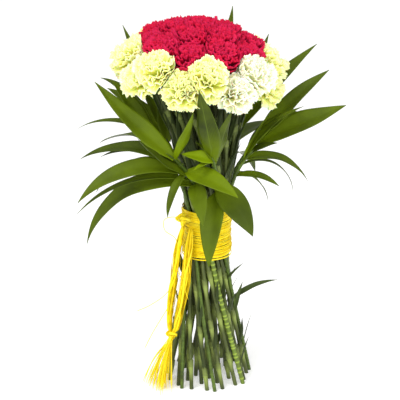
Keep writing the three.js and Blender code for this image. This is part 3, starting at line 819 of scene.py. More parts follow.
@dataclass
class Bloom:
    """A double carnation: a green calyx and whorls of fan-shaped petals with ruffled, pinked margins."""

    flower: Flower
    bundle: Bundle
    rivals: list[Array]  # the middles of the blooms that it presses on
    finish: bpy.types.Material
    calyx_finish: bpy.types.Material
    habit: Habit
    across: int = 25
    along: int = 8
    pivot_h: float = 31.0
    petal_thick: float = 0.45
    gap: float = 0.3

    def petals(self) -> tuple[Array, Array, Array]:
        """All petals at once, standing on the calyx foot with +Z as the flower's axis.

        Each petal is a fan on a middle line, a quadratic curve from the calyx mouth to a point of the head's outline.
        The fan widens as the 1.2th power of the way along. Two waves across it, growing with the cube and the sixth
        power of the way along, push it off its own plane, and a zigzag pinks its margin.

        Returns:
            The surfaces (petals, across, along, 3), a random number for each petal, and the map's places.
        """
        rng = np.random.default_rng(7000 + 100 * self.flower.plan.ring.value + self.flower.index)
        habit = self.habit
        count = np.array([n for n, _, _ in habit.whorls])
        polar = np.radians(np.repeat([a for _, a, _ in habit.whorls], count) + rng.normal(0, 3.5, count.sum()))
        half = np.repeat([w for _, _, w in habit.whorls], count) * rng.uniform(0.85, 1.12, count.sum())
        turn = np.concatenate([
            rng.uniform(0, 2 * np.pi) + (np.arange(n) + rng.uniform(-0.22, 0.22, n)) * 2 * np.pi / n for n in count
        ])
        total = len(turn)
        u = np.linspace(-1, 1, self.across)[None, :, None]
        v = (np.linspace(0, 1, self.along) ** 0.8)[None, None, :]

        p = habit.squareness
        out_share, up_share = np.abs(np.sin(polar)) / self.bundle.bloom_r, np.abs(np.cos(polar)) / habit.head_high
        reach = (out_share**p + up_share**p) ** (-1 / p) * rng.uniform(*habit.reach, total)
        end_r, end_h = reach * np.sin(polar), self.pivot_h + reach * np.cos(polar)
        bend_r, bend_h = 2.5 + 7 * np.sin(polar), self.pivot_h + 2 - 4 * np.sin(polar) ** 4
        root_r, root_h = 1.8, 17.0

        def mid(root: float | Array, bend: Array, end: Array) -> Array:
            """The quadratic curve's coordinate along v."""
            root, bend, end = (np.broadcast_to(x, total)[:, None, None] for x in (root, bend, end))
            return root * (1 - v) ** 2 + 2 * bend * v * (1 - v) + end * v**2

        line_r, line_h = mid(root_r, bend_r, end_r), mid(root_h, bend_h, end_h)
        slope_r = 2 * (1 - v) * (bend_r - root_r)[:, None, None] + 2 * v * (end_r - bend_r)[:, None, None]
        slope_h = 2 * (1 - v) * (bend_h - root_h)[:, None, None] + 2 * v * (end_h - bend_h)[:, None, None]
        length = np.hypot(slope_r, slope_h)
        along_r, along_h = slope_r / length, slope_h / length

        # The fan's own axes: yawed about its middle line, more in the crowded middle of the flower.
        yaw = rng.normal(0, 1, total) * np.radians(np.interp(np.degrees(polar), [0, 45, 90], [50, 30, 8]))
        yaw = yaw[:, None, None]
        wide = half[:, None, None] * (0.1 + 0.9 * v**1.2)
        waves = rng.uniform(*habit.waves, total)[:, None, None]
        phase, phase2 = rng.uniform(0, 2 * np.pi, (2, total))[:, :, None, None]
        tip = rng.uniform(-0.25, 0.25, total)[:, None, None]
        off = habit.ruffle * v**3 * np.sin(np.pi * waves * u + phase) * (0.6 + 0.4 * np.abs(u))
        off = off + habit.crimp * v**6 * np.sin(np.pi * waves * 3.1 * u + phase2)
        zigzag = np.where(np.arange(self.across) % 2 == 0, 1.0, -1.0)[None, :, None]
        forward = v**8 * (habit.pinking * zigzag * 0.5 - 2.2 * u**2 + tip * 3 * u)
        forward = forward + 0.7 * v**4 * np.cos(np.pi * waves * 2 * u + phase)

        side = u * wide
        side_r = side * np.sin(yaw) * along_h
        side_h = -side * np.sin(yaw) * along_r
        # Broad fans curl round the axis, so their edges bend inwards.
        curl = np.minimum(side**2 / (2 * np.maximum(line_r, 9.0)), 6.0) * np.cos(yaw)
        curl = curl * np.sqrt(np.clip(np.sin(polar), 0, 1))[:, None, None]
        r = line_r + side_r + off * along_h * np.cos(yaw) + forward * along_r - curl
        h = line_h + side_h - off * along_r * np.cos(yaw) + forward * along_h
        t = side * np.cos(yaw) - off * np.sin(yaw)
        c, s = np.cos(turn)[:, None, None], np.sin(turn)[:, None, None]
        grid = np.stack([r * c - t * s, r * s + t * c, h], -1)
        maps = np.stack(np.broadcast_arrays((u + 1) / 2 + np.zeros_like(v), v + np.zeros_like(u)), -1)
        uv = np.broadcast_to(maps, (total, self.across, self.along, 2))
        return grid, rng.random(total), uv

    def pressed(self, points: Array) -> Array:
        """Pushes points back from the planes half way to the neighbours.

        Beyond a soft start the distance to the plane shrinks by an exponential, so that no point crosses it.

        Args:
            points: points in the row frame.

        Returns:
            The same points, pressed.
        """
        soft = 4.0
        for rival in self.rivals:
            away = unit(rival - self.flower.centre)
            limit = np.linalg.norm(rival - self.flower.centre) / 2 - self.gap / 2
            over = (points - self.flower.centre) @ away - (limit - soft)
            pushed = soft * (1 - np.exp(-np.maximum(over, 0) / soft))
            points = points - np.where(over > 0, over - pushed, 0)[..., None] * away
        return points

    def calyx(self, draft: Draft) -> None:
        """Adds the calyx: a tube that swells to a five-toothed mouth, its rim raised by the fifth harmonic.

        Args:
            draft: what it is added to.
        """
        rings, sides = 12, 30
        t = np.linspace(0, 1, rings)
        a = np.linspace(0, 2 * np.pi, sides, endpoint=False)
        radius = np.interp(t, [0, 0.08, 0.3, 0.8, 1.0], [3.0, 4.6, 5.4, 6.6, 8.2])[:, None]
        teeth = 2.6 * t[:, None] ** 4 * np.cos(5 * a)[None]
        height = 24 * t[:, None] + teeth
        rib = 1 + 0.02 * np.cos(10 * a)[None] * np.sin(np.pi * t)[:, None]
        grid = np.stack([radius * rib * np.cos(a), radius * rib * np.sin(a), height + np.zeros(sides)], -1)
        draft.tube(self.placed(grid), shade=np.interp(t, [0, 0.2, 1], [0.7, 0.2, 0.5]))

    def placed(self, local: Array) -> Array:
        """Carries local points to the flower's foot and axis."""
        return local @ turned_to(self.flower.axis).T + self.flower.foot

    def build(self) -> None:
        """Makes the petals and the calyx of one bloom."""
        colour = self.flower.plan.colour
        node = f"{colour}_bloom_{self.flower.number:02d}"
        local, shade, uv = self.petals()
        grid = self.pressed(self.placed(local))
        du, dv = np.gradient(grid, axis=(1, 2))
        petals = Draft()
        petals.sheets(grid, unit(np.cross(du, dv)), self.petal_thick, shade, uv)
        petals.write(f"{node}_petals", self.finish, [node], f"{colour}_petal")
        calyx = Draft()
        self.calyx(calyx)
        calyx.write(f"{node}_calyx", self.calyx_finish, [node], "green_stem")


# ---- Stems ---------------------------------------------------------------------------------------


@dataclass
class Stem:
    """A carnation stem: a round rod with swollen nodes, each clasped by the sheath of a stripped leaf pair."""

    flower: Flower
    bundle: Bundle
    sides: int = 14
    node_step: float = 62.0
    swell: float = 1.15
    swell_long: float = 4.5
    slim: float = 0.86  # the rod between nodes, as a share of the full diameter
    head_bend: float = 14.0  # the last stretch, which turns to follow the bloom
    shaded: tuple[float, float] = (270.0, 340.0)  # the heights over which painted shade, for the blooms' shadow, dulls the pale nodes
    beside_tails: tuple[float, float] = (190.0, 250.0)  # where the two tails hang, kept clear of narrow leaves

    def line(self, heights: Array) -> Array:
        """The stem's middle line: the bundle's lay, turning into the bloom's axis over the last stretch.

        Args:
            heights: the heights of its points below that stretch; within it they pick a place on the turn.

        Returns:
            The line's points.
        """
        plan, foot, axis, bend = self.flower.plan, self.flower.foot, self.flower.axis, self.head_bend
        start = self.bundle.stem(plan, self.flower.index, foot[2] - bend)
        lay = self.bundle.stem(plan, self.flower.index, np.minimum(heights, foot[2] - bend))
        t = np.clip((heights - (foot[2] - bend)) / bend, 0, 1)[:, None]
        control = foot - axis * bend * 0.5
        turned = start * (1 - t) ** 2 + 2 * control * t * (1 - t) + foot * t**2
        return np.where(t > 0, turned, lay)

    def build(self, draft: Draft) -> None:
        """Adds the rod and its sheaths. The rod swells at each node by a bell curve.

        Args:
            draft: what they are added to.
        """
        rng = np.random.default_rng(4000 + 100 * self.flower.plan.ring.value + self.flower.index)
        top = self.flower.foot[2]
        heights = np.linspace(0, top, 110)
        line = self.line(heights)
        nodes = np.arange(rng.uniform(14, 58), top - 30, self.node_step) + rng.uniform(-6, 6)
        free = np.abs(nodes - self.bundle.waist_z) > 46  # no swelling under the tie
        nodes = nodes[free]
        near = np.exp(-(((heights[:, None] - nodes[None, :]) / self.swell_long) ** 2)).sum(1)
        pale = np.exp(-(((heights[:, None] - nodes[None, :] + 4) / (2.4 * self.swell_long)) ** 2)).sum(1)
        radius = self.bundle.stem_d / 2 * (self.slim + (self.swell - self.slim) * near)
        angle = np.radians(self.flower.plan.phase)
        across, up = frames(line, np.array([math.cos(angle), math.sin(angle), 0.0]))
        flat_across, flat_up = across * [1, 1, 0], up * [1, 1, 0]
        ends = np.clip(1 - heights / 6, 0, 1)[:, None]  # rings turn level towards the cut
        across = unit(across * (1 - ends) + flat_across * ends)
        up = unit(up * (1 - ends) + flat_up * ends)
        # Painted shade for the blooms' shadow: between the two shaded heights the nodes' paleness fades to 0.3 of
        # itself.
        node_paleness_in_painted_shade = pale * 0.8 * np.interp(heights, self.shaded, [1.0, 0.3])
        draft.tube(carried(line, self.sides, across, up, radius, radius), shade=node_paleness_in_painted_shade, cut_ends=True)
        for z in nodes:
            self.sheath(draft, z, rng)

    def sheath(self, draft: Draft, z: float, rng: np.random.Generator) -> None:
        """Adds a leaf pair's sheath at a node: a cuff that leaves the stem by a square, with two torn points.

        Args:
            draft: what it is added to.
            z: the node's height.
            rng: draws its length and turn.
        """
        cuff = rng.uniform(7, 12)
        heights = z + np.linspace(0, 1, 6) * cuff
        line = self.line(np.minimum(heights, self.flower.foot[2] - 2))
        across, up = frames(line, np.array([1.0, 0.0, 0.0]))
        t = np.linspace(0, 1, 6)
        base = self.bundle.stem_d / 2
        radius = base * (1.12 + 0.1 * t**2)
        grid = carried(line, 12, across, up, radius, radius)
        a = np.linspace(0, 2 * np.pi, 12, endpoint=False) + rng.uniform(0, 3)
        grid[..., 2] += (t[:, None] ** 2) * np.cos(2 * a)[None] * cuff * 0.22
        draft.tube(grid, shade=0.55 - 0.3 * t)

    def strap(self, draft: Draft, rng: np.random.Generator) -> None:
        """Adds a narrow leaf that still hugs the stem below the tie, or above it.

        Args:
            draft: what it is added to.
            rng: draws its place and size.
        """
        low = rng.random() < 0.3
        z = rng.uniform(20, 135) if low else rng.uniform(290, 390)
        start, ahead = self.line(np.array([z, z + 30.0]))
        away = start - self.bundle.centre_line(z)
        side = math.degrees(math.atan2(away[1], away[0]))
        heading = side + rng.uniform(-70, 70)
        steep = math.degrees(math.asin((ahead[2] - start[2]) / float(np.linalg.norm(ahead - start))))
        out = unit(np.array([math.cos(math.radians(heading)), math.sin(math.radians(heading)), 0.0]))
        long, wide = ((26, 60), (4, 7)) if low else ((50, 84), (7, 12))
        length, width = rng.uniform(*long), rng.uniform(*wide)
        blade = Blade(0, heading, length, steep + 2, steep + rng.uniform(-16, 6), width, rng.uniform(-40, 40))
        if low and self.beside_tails[0] < side % 360 < self.beside_tails[1]:
            return
        blade.add_to(draft, start + out * self.bundle.stem_d * 0.42, int(rng.integers(1 << 20)), 0.5)


# ---- Leaves --------------------------------------------------------------------------------------


@dataclass(frozen=True)
class Blade:
    """One lance-shaped leaf: where it leaves its cane or stem, and how it rises, arches and rolls."""

    drop: float  # below the cane's top; for a short leaf, its height on the stem
    heading: float
    length: float
    rise: float
    tip_rise: float
    width: float
    roll: float
    young: float = 0.0

    def outline(self, t: Array) -> Array:
        """The share of the full width at t: a sine of t to the 0.72th power, held open at the clasping base."""
        lance = np.sin(np.pi * np.clip(t, 0, 1) ** 0.72) ** 0.9
        return np.maximum(0.32 * (1 - t), np.nan_to_num(lance))

    def surface(self, start: Array, seed: int, across_n: int = 11, along_n: int = 44) -> tuple[Array, Array]:
        """The leaf's middle surface. Its slope turns evenly from base to tip, so its midrib is an arc of a circle.

        Args:
            start: the point that it grows from.
            seed: picks its small waves and its twist.
            across_n: points across.
            along_n: points along.

        Returns:
            The grid (1, across, along, 3) and its map (1, across, along, 2).
        """
        rng = np.random.default_rng(seed)
        t = np.linspace(0, 1, along_n)
        u = np.linspace(-0.5, 0.5, across_n)
        heading, rise = math.radians(self.heading), math.radians(self.rise)
        turn = math.radians(self.tip_rise - self.rise) or 1e-6
        out = np.array([math.cos(heading), math.sin(heading), 0.0])
        level = np.array([-out[1], out[0], 0.0])
        zed = np.array([0.0, 0.0, 1.0])
        slope = rise + turn * t
        forward = self.length * (np.sin(slope) - math.sin(rise)) / turn
        climb = self.length * (math.cos(rise) - np.cos(slope)) / turn
        normal = zed * np.cos(slope)[:, None] - out * np.sin(slope)[:, None]
        roll = np.radians(self.roll + rng.uniform(-14, 14) * t**1.5)[:, None]
        side = level * np.cos(roll) + normal * np.sin(roll)
        face = normal * np.cos(roll) - level * np.sin(roll)
        wide = np.maximum(self.width * self.outline(t), 0.7)
        middle = start + out * forward[:, None] + zed * climb[:, None]
        middle = middle + level * (self.length * 0.02 * rng.uniform(-1, 1) * np.sin(np.pi * t) ** 2)[:, None]
        a, b = np.meshgrid(u, t, indexing="ij")
        fold = 0.2 * 2 * np.sqrt(a**2 + 0.0012) - 0.012
        ripple = 2 * np.pi * (rng.uniform(1.2, 2.2) * b + rng.random()) + 2.4 * np.sign(a)
        wave = 0.045 * (2 * np.abs(a)) ** 2 * np.sin(ripple)
        raised = (fold * (1 - 0.35 * b) + wave * np.sin(np.pi * b)) * wide[None]
        grid = middle[None] + side[None] * (a * wide[None])[..., None] + face[None] * raised[..., None]
        return grid[None], np.stack([a + 0.5, b], -1)[None]

    def add_to(self, draft: Draft, start: Array, seed: int, thick: float) -> None:
        """Adds the leaf as a thin closed sheet, thicker along the midrib by a bell curve across.

        Args:
            draft: what it is added to.
            start: the point that it grows from.
            seed: picks its small waves, its twist and its shade.
            thick: its thickness at the base.
        """
        grid, uv = self.surface(start, seed)
        du, dv = np.gradient(grid, axis=(1, 2))
        rib = np.exp(-(((uv[..., 0] - 0.5) / 0.06) ** 2))
        depth = (thick + 0.8 * rib * (1 - uv[..., 1])) * (1 - 0.6 * uv[..., 1])
        shade = np.array([np.clip(self.young + np.random.default_rng(seed + 1).uniform(0, 0.25), 0, 1)])
        draft.sheets(grid, unit(np.cross(du, dv)), depth, shade, uv)


SPRIG_PHASE = -88.6
FRESH_CANES = (1,)  # the sprig whose cane is still bright green
SPRIGS: tuple[tuple[Blade, ...], ...] = (
    (  # front left
        Blade(6, 166, 156, 38, 47, 31, -38), Blade(14, 157, 179, 56, -34, 15, -20),
        Blade(20, 161, 164, 30, -35, 24, -26), Blade(26, 159, 137, 35, -32, 13, -20),
        Blade(36, 192, 177, 30, -51, 31, -28), Blade(46, 190, 181, 21, -48, 14, -20),
        Blade(54, 185, 199, 20, -77, 32, -30), Blade(36, 223, 125, 25, 53, 28, -30),
        Blade(30, -134, 74, -25, -89, 15, 0), Blade(52, -80, 86, 1, -52, 26, 24, 0.2),
        Blade(30, -48, 109, 9, -19, 32, 30, 0.5), Blade(8, -62, 101, 50, 65, 20, 10, 0.45),
    ),
    (  # front
        Blade(66, -103, 114, -28, -91, 33, 0), Blade(58, -45, 92, -14, -61, 38, 34),
        Blade(6, -111, 134, 64, 66, 30, 10), Blade(14, -58, 103, 64, 66, 26, 12),
        Blade(4, 172, 46, 18, 4, 22, -30, 1.0), Blade(8, -152, 34, 14, -34, 13, 0, 0.9),
        Blade(2, 148, 38, 50, 24, 12, 0, 0.1),
    ),
    (  # front right
        Blade(6, -13, 113, 64, 26, 18, 26), Blade(22, -24, 68, 55, 15, 20, 20),
        Blade(14, -31, 98, 67, 54, 28, 20), Blade(46, -19, 70, 22, -35, 15, 16),
    ),
    (  # right
        Blade(6, -2, 140, 25, 24, 38, 34), Blade(2, 16, 143, 54, 32, 28, 26),
        Blade(34, 10, 116, 20, -62, 20, 20), Blade(46, 20, 120, 29, -85, 11, 0),
        Blade(52, 11, 77, -5, -84, 11, 0), Blade(2, 4, 70, 61, 17, 20, 20),
    ),
    (  # back right
        Blade(4, 36, 183, 44, 27, 27, 22), Blade(6, 56, 155, 55, 56, 26, 0), Blade(16, 92, 104, 64, 68, 30, 0),
        Blade(30, 48, 150, 30, -30, 30, 0), Blade(52, 66, 160, 16, -58, 30, 0),
    ),
    (  # back
        Blade(16, 60, 208, 38, 80, 30, 0), Blade(12, 118, 94, 62, 66, 30, 0),
        Blade(14, 96, 150, 46, 20, 30, -12), Blade(32, 96, 150, 26, -36, 31, 0),
        Blade(52, 112, 165, 14, -62, 31, 0),
    ),
    (  # back left
        Blade(4, 126, 174, 58, 50, 26, 0), Blade(14, 92, 104, 64, 68, 30, 0),
        Blade(8, 150, 116, 46, 16, 27, -24), Blade(32, 142, 150, 26, -34, 30, 0),
        Blade(52, 152, 165, 16, -60, 30, 0),
    ),
    (  # left
        Blade(4, 168, 112, 69, 48, 28, -30), Blade(8, 131, 158, 70, -6, 18, -24),
        Blade(40, 180, 130, 14, -40, 22, -16),
    ),
)
SHORT_LEAVES: tuple[tuple[int, Blade], ...] = (  # on the cream flowers' stems, below the tie
    (0, Blade(118, -4, 76, 48, 6, 9, 40)),
    (15, Blade(156, -16, 40, 55, 44, 6, 30)),
    (8, Blade(156, 172, 46, 66, 84, 13, -30)),
)


@dataclass
class Sprig:
    """A dracaena sprig: a ringed cane through the tie, and its leaves above it."""

    number: int
    bundle: Bundle
    leaf_finish: bpy.types.Material
    cane_finish: bpy.types.Material
    ring_step: float = 7.0
    leaf_thick: float = 0.7

    @property
    def angle(self) -> float:
        """The cane's direction in the waist."""
        return SPRIG_PHASE + 360 / len(SPRIGS) * (self.number - 1)

    def build(self) -> None:
        """Makes the cane, whose radius swells at each leaf scar by a bell curve, and the leaves."""
        node = f"dracaena_sprig_{self.number}"
        top = self.bundle.cane_top_z + 6
        heights = np.linspace(0, top, 380)
        line = self.bundle.cane(self.angle, heights)
        rng = np.random.default_rng(900 + self.number)
        scars = np.cumsum(rng.uniform(0.6, 1.5, int(top / self.ring_step)) * self.ring_step)
        scar = np.exp(-((np.abs(heights[:, None] - scars).min(1) / 1.1) ** 2))
        outside_tie = np.clip((np.abs(heights - self.bundle.waist_z) - 34) / 8, 0, 1)
        below_tie = np.clip((self.bundle.waist_z - heights) / 20, 0, 1)
        fresh = 0.1 + (0.9 if self.number in FRESH_CANES else 0.0) * below_tie
        swollen = 0.9 + 0.18 * fresh * outside_tie + (0.08 + 0.1 * fresh) * scar * outside_tie
        radius = self.bundle.cane_d / 2 * swollen
        radius = radius * np.clip((top - heights) / 26, 0.04, 1) ** 0.6
        across, up = frames(line, np.array([0.6, 0.8, 0.0]))
        cane = Draft()
        cane.tube(carried(line, 14, across, up, radius, radius), shade=fresh * (0.2 + 0.7 * scar))
        cane.write(f"{node}_cane", self.cane_finish, [node], "green_stem")
        leaves = Draft()
        for i, blade in enumerate(SPRIGS[self.number - 1]):
            start = self.bundle.cane(self.angle, self.bundle.cane_top_z - blade.drop)
            blade.add_to(leaves, start, 50 * self.number + i, self.leaf_thick)
        leaves.write(f"{node}_leaves", self.leaf_finish, [node], "dracaena_leaf")


@dataclass
class StemGroup:
    """The stems that the tie presses together, which share one solid."""

    node: str
    flowers: list[Flower]
    bundle: Bundle
    finish: bpy.types.Material
    leaf_finish: bpy.types.Material

    def build(self) -> None:
        """Makes the stems, and the short leaves that were left on them."""
        stems, leaves = Draft(), Draft()
        for flower in self.flowers:
            stem = Stem(flower, self.bundle)
            stem.build(stems)
            rng = np.random.default_rng(5000 + 100 * flower.plan.ring.value + flower.index)
            for _ in range(6 if flower.plan.ring is Ring.OUTER else 3):
                stem.strap(leaves, rng)
            for index, blade in SHORT_LEAVES:
                if flower.plan.ring is Ring.OUTER and flower.index == index:
                    start = self.bundle.stem(flower.plan, index, blade.drop)
                    blade.add_to(leaves, start, 700 + index, 0.6)
        stems.write(f"{self.node}_rods", self.finish, [self.node], "green_stem")
        if leaves.size:
            leaves.write(f"{self.node}_short_leaf", self.leaf_finish, [self.node], "green_stem")


# ---- Raffia --------------------------------------------------------------------------------------


@dataclass(frozen=True)
class TailPlan:
    """One hanging tail at the knot, half way and at the end knot."""

    angles: tuple[float, float, float]
    off: tuple[float, float, float]  # how far its middle line hangs off the outermost stems


@dataclass
class RaffiaTie:
    """The raffia: a wide band of many turns, its knot, two hanging tails, and the end knot with its frayed fringe."""

    bundle: Bundle
    finish: bpy.types.Material
    band_wall: float = 2.4
    band_sides: int = 24
    band_gap: float = 0.9
    gap: float = 0.4
    knot_angle: float = 222.0
    knot_z: float = 257.0
    knot_r: float = 9.0
    tail_d: float = 16.0
    tails: tuple[TailPlan, ...] = (TailPlan((219, 209, 212), (7, 17, 15)), TailPlan((238, 231, 222), (7, 12, 11)))
    tail_end_z: float = 90.0
    fringe_angle: float = 214.0
    end_knot_z: float = 78.0
    floor_clear: float = 0.7
    turns: int = 42  # of the band, side by side
    lowest_gap: float = 3.6  # the dark gap above its lowest turn
    crossing_turns: int = 16
    knot_loops: int = 12
    skein_ribbons: int = 30
    line_points: int = 64
    fringe_ribbons: int = 70

    def band_radius(self, z: Array | float) -> Array:
        """The inside of the band at a height."""
        return (self.bundle.outer_radius(z) + self.band_gap) / math.cos(math.pi / self.band_sides)

    @property
    def band_out(self) -> float:
        """The outside of the band at the knot's height."""
        return float(self.band_radius(self.knot_z)) + self.band_wall

    def ribbon(self, draft: Draft, line: Array, wide: Array | float, thick: float, hint: Array, shade: float) -> None:
        """Adds a torn ribbon: a flat ellipse carried along a line, tapered at both ends.

        Args:
            draft: what it is added to.
            line: its middle line, (n, 3).
            wide: half its width.
            thick: half its thickness.
            hint: the direction that its thin side faces, (3,) or (n, 3).
            shade: its shade.
        """
        across, up = frames(line, hint)
        from_end = np.minimum(np.arange(len(line)), np.arange(len(line))[::-1])
        taper = np.clip(from_end / 3, 0.3, 1)
        draft.tube(carried(line, 6, across, up, wide * taper, thick * taper), shade=shade)

    def band(self) -> None:
        """Makes the band: closed turns, each a circle whose height and distance vary as sines round it."""
        rng = np.random.default_rng(31)
        draft = Draft()
        a = np.linspace(0, 2 * np.pi, 132, endpoint=False)
        out = np.stack([np.cos(a), np.sin(a), np.zeros_like(a)], -1)
        bottom, top = self.bundle.band_bottom_z + 1, self.bundle.band_top_z - 1
        under = np.append(np.linspace(bottom + self.lowest_gap, top, self.turns), bottom)
        over = rng.uniform(bottom + 8, top - 3, self.crossing_turns)
        for i, z in enumerate(np.concatenate([under, over])):
            crossing = i >= len(under)  # the last turns cross the others at a slight slant
            slant = rng.uniform(0.6, 2.0) if crossing else 0.35
            height = z + slant * np.sin(a + rng.uniform(0, 6.3)) + 0.3 * np.sin(4 * a + rng.uniform(0, 6.3))
            height = np.clip(height, bottom, top)
            layer = rng.uniform(*((1.7, 2.3) if crossing else (0.7, 1.3)))
            r = self.band_radius(height) + layer + 0.12 * np.sin(5 * a + rng.uniform(0, 6.3))
            line = self.bundle.towards(np.degrees(a), r, height)
            half = rng.uniform(*((0.4, 0.9) if crossing else (0.75, 1.15))) * (1 + 0.12 * np.sin(3 * a + i))
            zed = np.broadcast_to([0.0, 0.0, 1.0], out.shape)
            draft.tube(carried(line, 6, out, zed, 0.35, half), shade=rng.uniform(0.25, 0.9), closed=True)
        draft.write("raffia_band_turns", self.finish, ["raffia_band"], "raffia")

    @property
    def knot_middle(self) -> Array:
        """Where the knot's middle is."""
        return self.bundle.towards(self.knot_angle, self.band_out + self.knot_r + self.gap, self.knot_z)

    @property
    def end_knot_middle(self) -> Array:
        """Where the end knot's middle is."""
        r = float(self.bundle.outer_radius(self.end_knot_z)) + 11
        return self.bundle.towards(self.fringe_angle, r, self.end_knot_z)

    def knot(
        self, name: str, node: str, middle: Array, size: tuple[float, float, float], turned: float
    ) -> bpy.types.Object:
        """Makes a knot: ribbons along a trefoil, the closed curve sin t + 2 sin 2t, cos t - 2 cos 2t, -sin 3t.

        Args:
            name: the piece's name.
            node: the solid that it stands for.
            middle: its middle.
            size: half its size outwards, sideways and up.
            turned: the angle that its outward side faces, in degrees.

        Returns:
            The knot's object.
        """
        rng = np.random.default_rng(int(middle[2]))
        draft = Draft()
        t = np.linspace(0, 2 * np.pi, 90, endpoint=False)
        c, s = math.cos(math.radians(turned)), math.sin(math.radians(turned))
        out, side, zed = np.array([c, s, 0.0]), np.array([-s, c, 0.0]), np.array([0.0, 0.0, 1.0])
        for _ in range(self.knot_loops):
            shift = rng.uniform(-0.9, 0.9)
            y = (np.sin(t + shift) + 2 * np.sin(2 * t + shift)) / 3
            z = (np.cos(t + shift) - 2 * np.cos(2 * t + shift)) / 3
            x = -np.sin(3 * t + shift)
            k = np.array(size) * rng.uniform(0.5, 0.9)
            line = middle + out * (x * k[0] * 0.8)[:, None] + side * (y * k[1])[:, None] + zed * (z * k[2])[:, None]
            away = unit(line - middle)
            along = unit(np.roll(line, -1, 0) - np.roll(line, 1, 0))
            up = unit(away - along * np.sum(away * along, 1, keepdims=True))
            wide = rng.uniform(1.4, 2.4)
            draft.tube(carried(line, 6, np.cross(up, along), up, wide, 0.5), shade=rng.uniform(0.3, 0.9), closed=True)
        return draft.write(name, self.finish, [node], "raffia")

    def tail_line(self, plan: TailPlan, count: int) -> Array:
        """A tail's middle line, from under the knot into the end knot; its angle and offset follow parabolas.

        Args:
            plan: how the tail hangs.
            count: how many points the line gets.

        Returns:
            The line's points.
        """
        start_z = self.knot_z - self.knot_r * 1.2 - self.gap
        t = np.linspace(0, 1, count - 6)
        z = start_z + (self.tail_end_z - start_z) * t

        def through(values: tuple[float, float, float]) -> Array:
            """The parabola through three values at t = 0, 1/2 and 1."""
            a, b, c = values
            return a + (c - a) * t + (b - (a + c) / 2) * 4 * t * (1 - t)

        r = np.maximum(self.band_out, self.bundle.outer_radius(z)) + through(plan.off)
        hanging = self.bundle.towards(through(plan.angles), r, z)
        into = np.linspace(0, 1, 7)[1:, None]
        return np.concatenate([hanging, hanging[-1] * (1 - into) + self.end_knot_middle * into])

    def tail(self, number: int, with_pieces: list[bpy.types.Object]) -> None:
        """Makes one tail, a loose skein of ribbons that wander round its middle line.

        Args:
            number: 1 or 2.
            with_pieces: the end knot and the fringe, on the tail that carries them; not used.
        """
        rng = np.random.default_rng(60 + number)
        line = self.tail_line(self.tails[number - 1], self.line_points)
        across, up = frames(line, np.array([-1.0, -0.5, 0.0]))
        draft = Draft()
        t = np.linspace(0, 1, len(line))
        start = self.knot_middle * 0.5 + line[0] * 0.5
        for i in range(self.skein_ribbons):
            turned, drift = rng.uniform(0, 2 * np.pi), rng.uniform(-2.2, 2.2)
            far = self.tail_d / 2 * (0.1 if i == 0 else math.sqrt(rng.uniform(0.05, 1.0)))
            spread = np.interp(t, [0, 0.15, 0.5, 0.85, 1], [0.35, 0.75, 1.0, 0.7, 0.2])
            a = turned + drift * t + 0.35 * np.sin(2 * np.pi * (t * rng.uniform(1, 2) + rng.random()))
            strand = line + across * (far * spread * np.cos(a))[:, None] + up * (far * spread * np.sin(a))[:, None]
            strand = np.concatenate([[start], strand])
            facing = across * np.cos(a)[:, None] + up * np.sin(a)[:, None]
            facing = np.concatenate([facing[:1], facing])
            # The strands take darker shades than the band's turns: painted shade, for the shadow among the hanging
            # strands.
            self.ribbon(draft, strand, rng.uniform(0.7, 1.7), 0.28, facing, rng.uniform(0.0, 0.75))
        piece = draft.write(f"raffia_tail_{number}_skein", self.finish, [f"raffia_tail_{number}"], "raffia")

    def fringe(self) -> list[bpy.types.Object]:
        """Makes the end knot, and the frayed ribbons that arch from it and run out on the floor.

        Returns:
            The end knot's and the fringe's objects.
        """
        rng = np.random.default_rng(77)
        middle = self.end_knot_middle
        knot = self.knot("raffia_end_knot", "raffia_fringe", middle, (8.0, 9.0, 9.0), self.fringe_angle)
        draft = Draft()
        base_r = float(self.bundle.outer_radius(0.0))
        turned = math.radians(self.fringe_angle)
        out = np.array([math.cos(turned), math.sin(turned), 0.0])
        along = np.array([-math.sin(turned), math.cos(turned), 0.0])
        t = np.linspace(0, 1, 34)[:, None]
        for _ in range(self.fringe_ribbons):
            sideways = float(np.clip(rng.normal(0, 0.45), -1.05, 1.05))
            foot = self.bundle.towards(self.fringe_angle, base_r + rng.uniform(4, 33), self.floor_clear)
            foot = foot + along * sideways * 34
            top = middle + rng.uniform(-3, 3, 3) + [0, 0, -3]
            knee = middle * 0.4 + foot * 0.6 + [0, 0, rng.uniform(2, 20)] + out * rng.uniform(0, 6)
            shoulder = middle * 0.8 + foot * 0.2
            line = top * (1 - t) ** 3 + 3 * shoulder * t * (1 - t) ** 2 + 3 * knee * t**2 * (1 - t) + foot * t**3
            line = line + along * np.sin(t * rng.uniform(4, 9) + rng.uniform(0, 6)) * t * rng.uniform(0, 1.6)
            line[:, 2] = np.maximum(line[:, 2], self.floor_clear)
            facing = unit(out + [0, 0, 0.8])
            self.ribbon(draft, line, rng.uniform(0.5, 1.3), 0.25, facing, rng.uniform(0.3, 1.0))
        fringe = draft.write("raffia_fringe_ribbons", self.finish, ["raffia_fringe"], "raffia")
        return [knot, fringe]

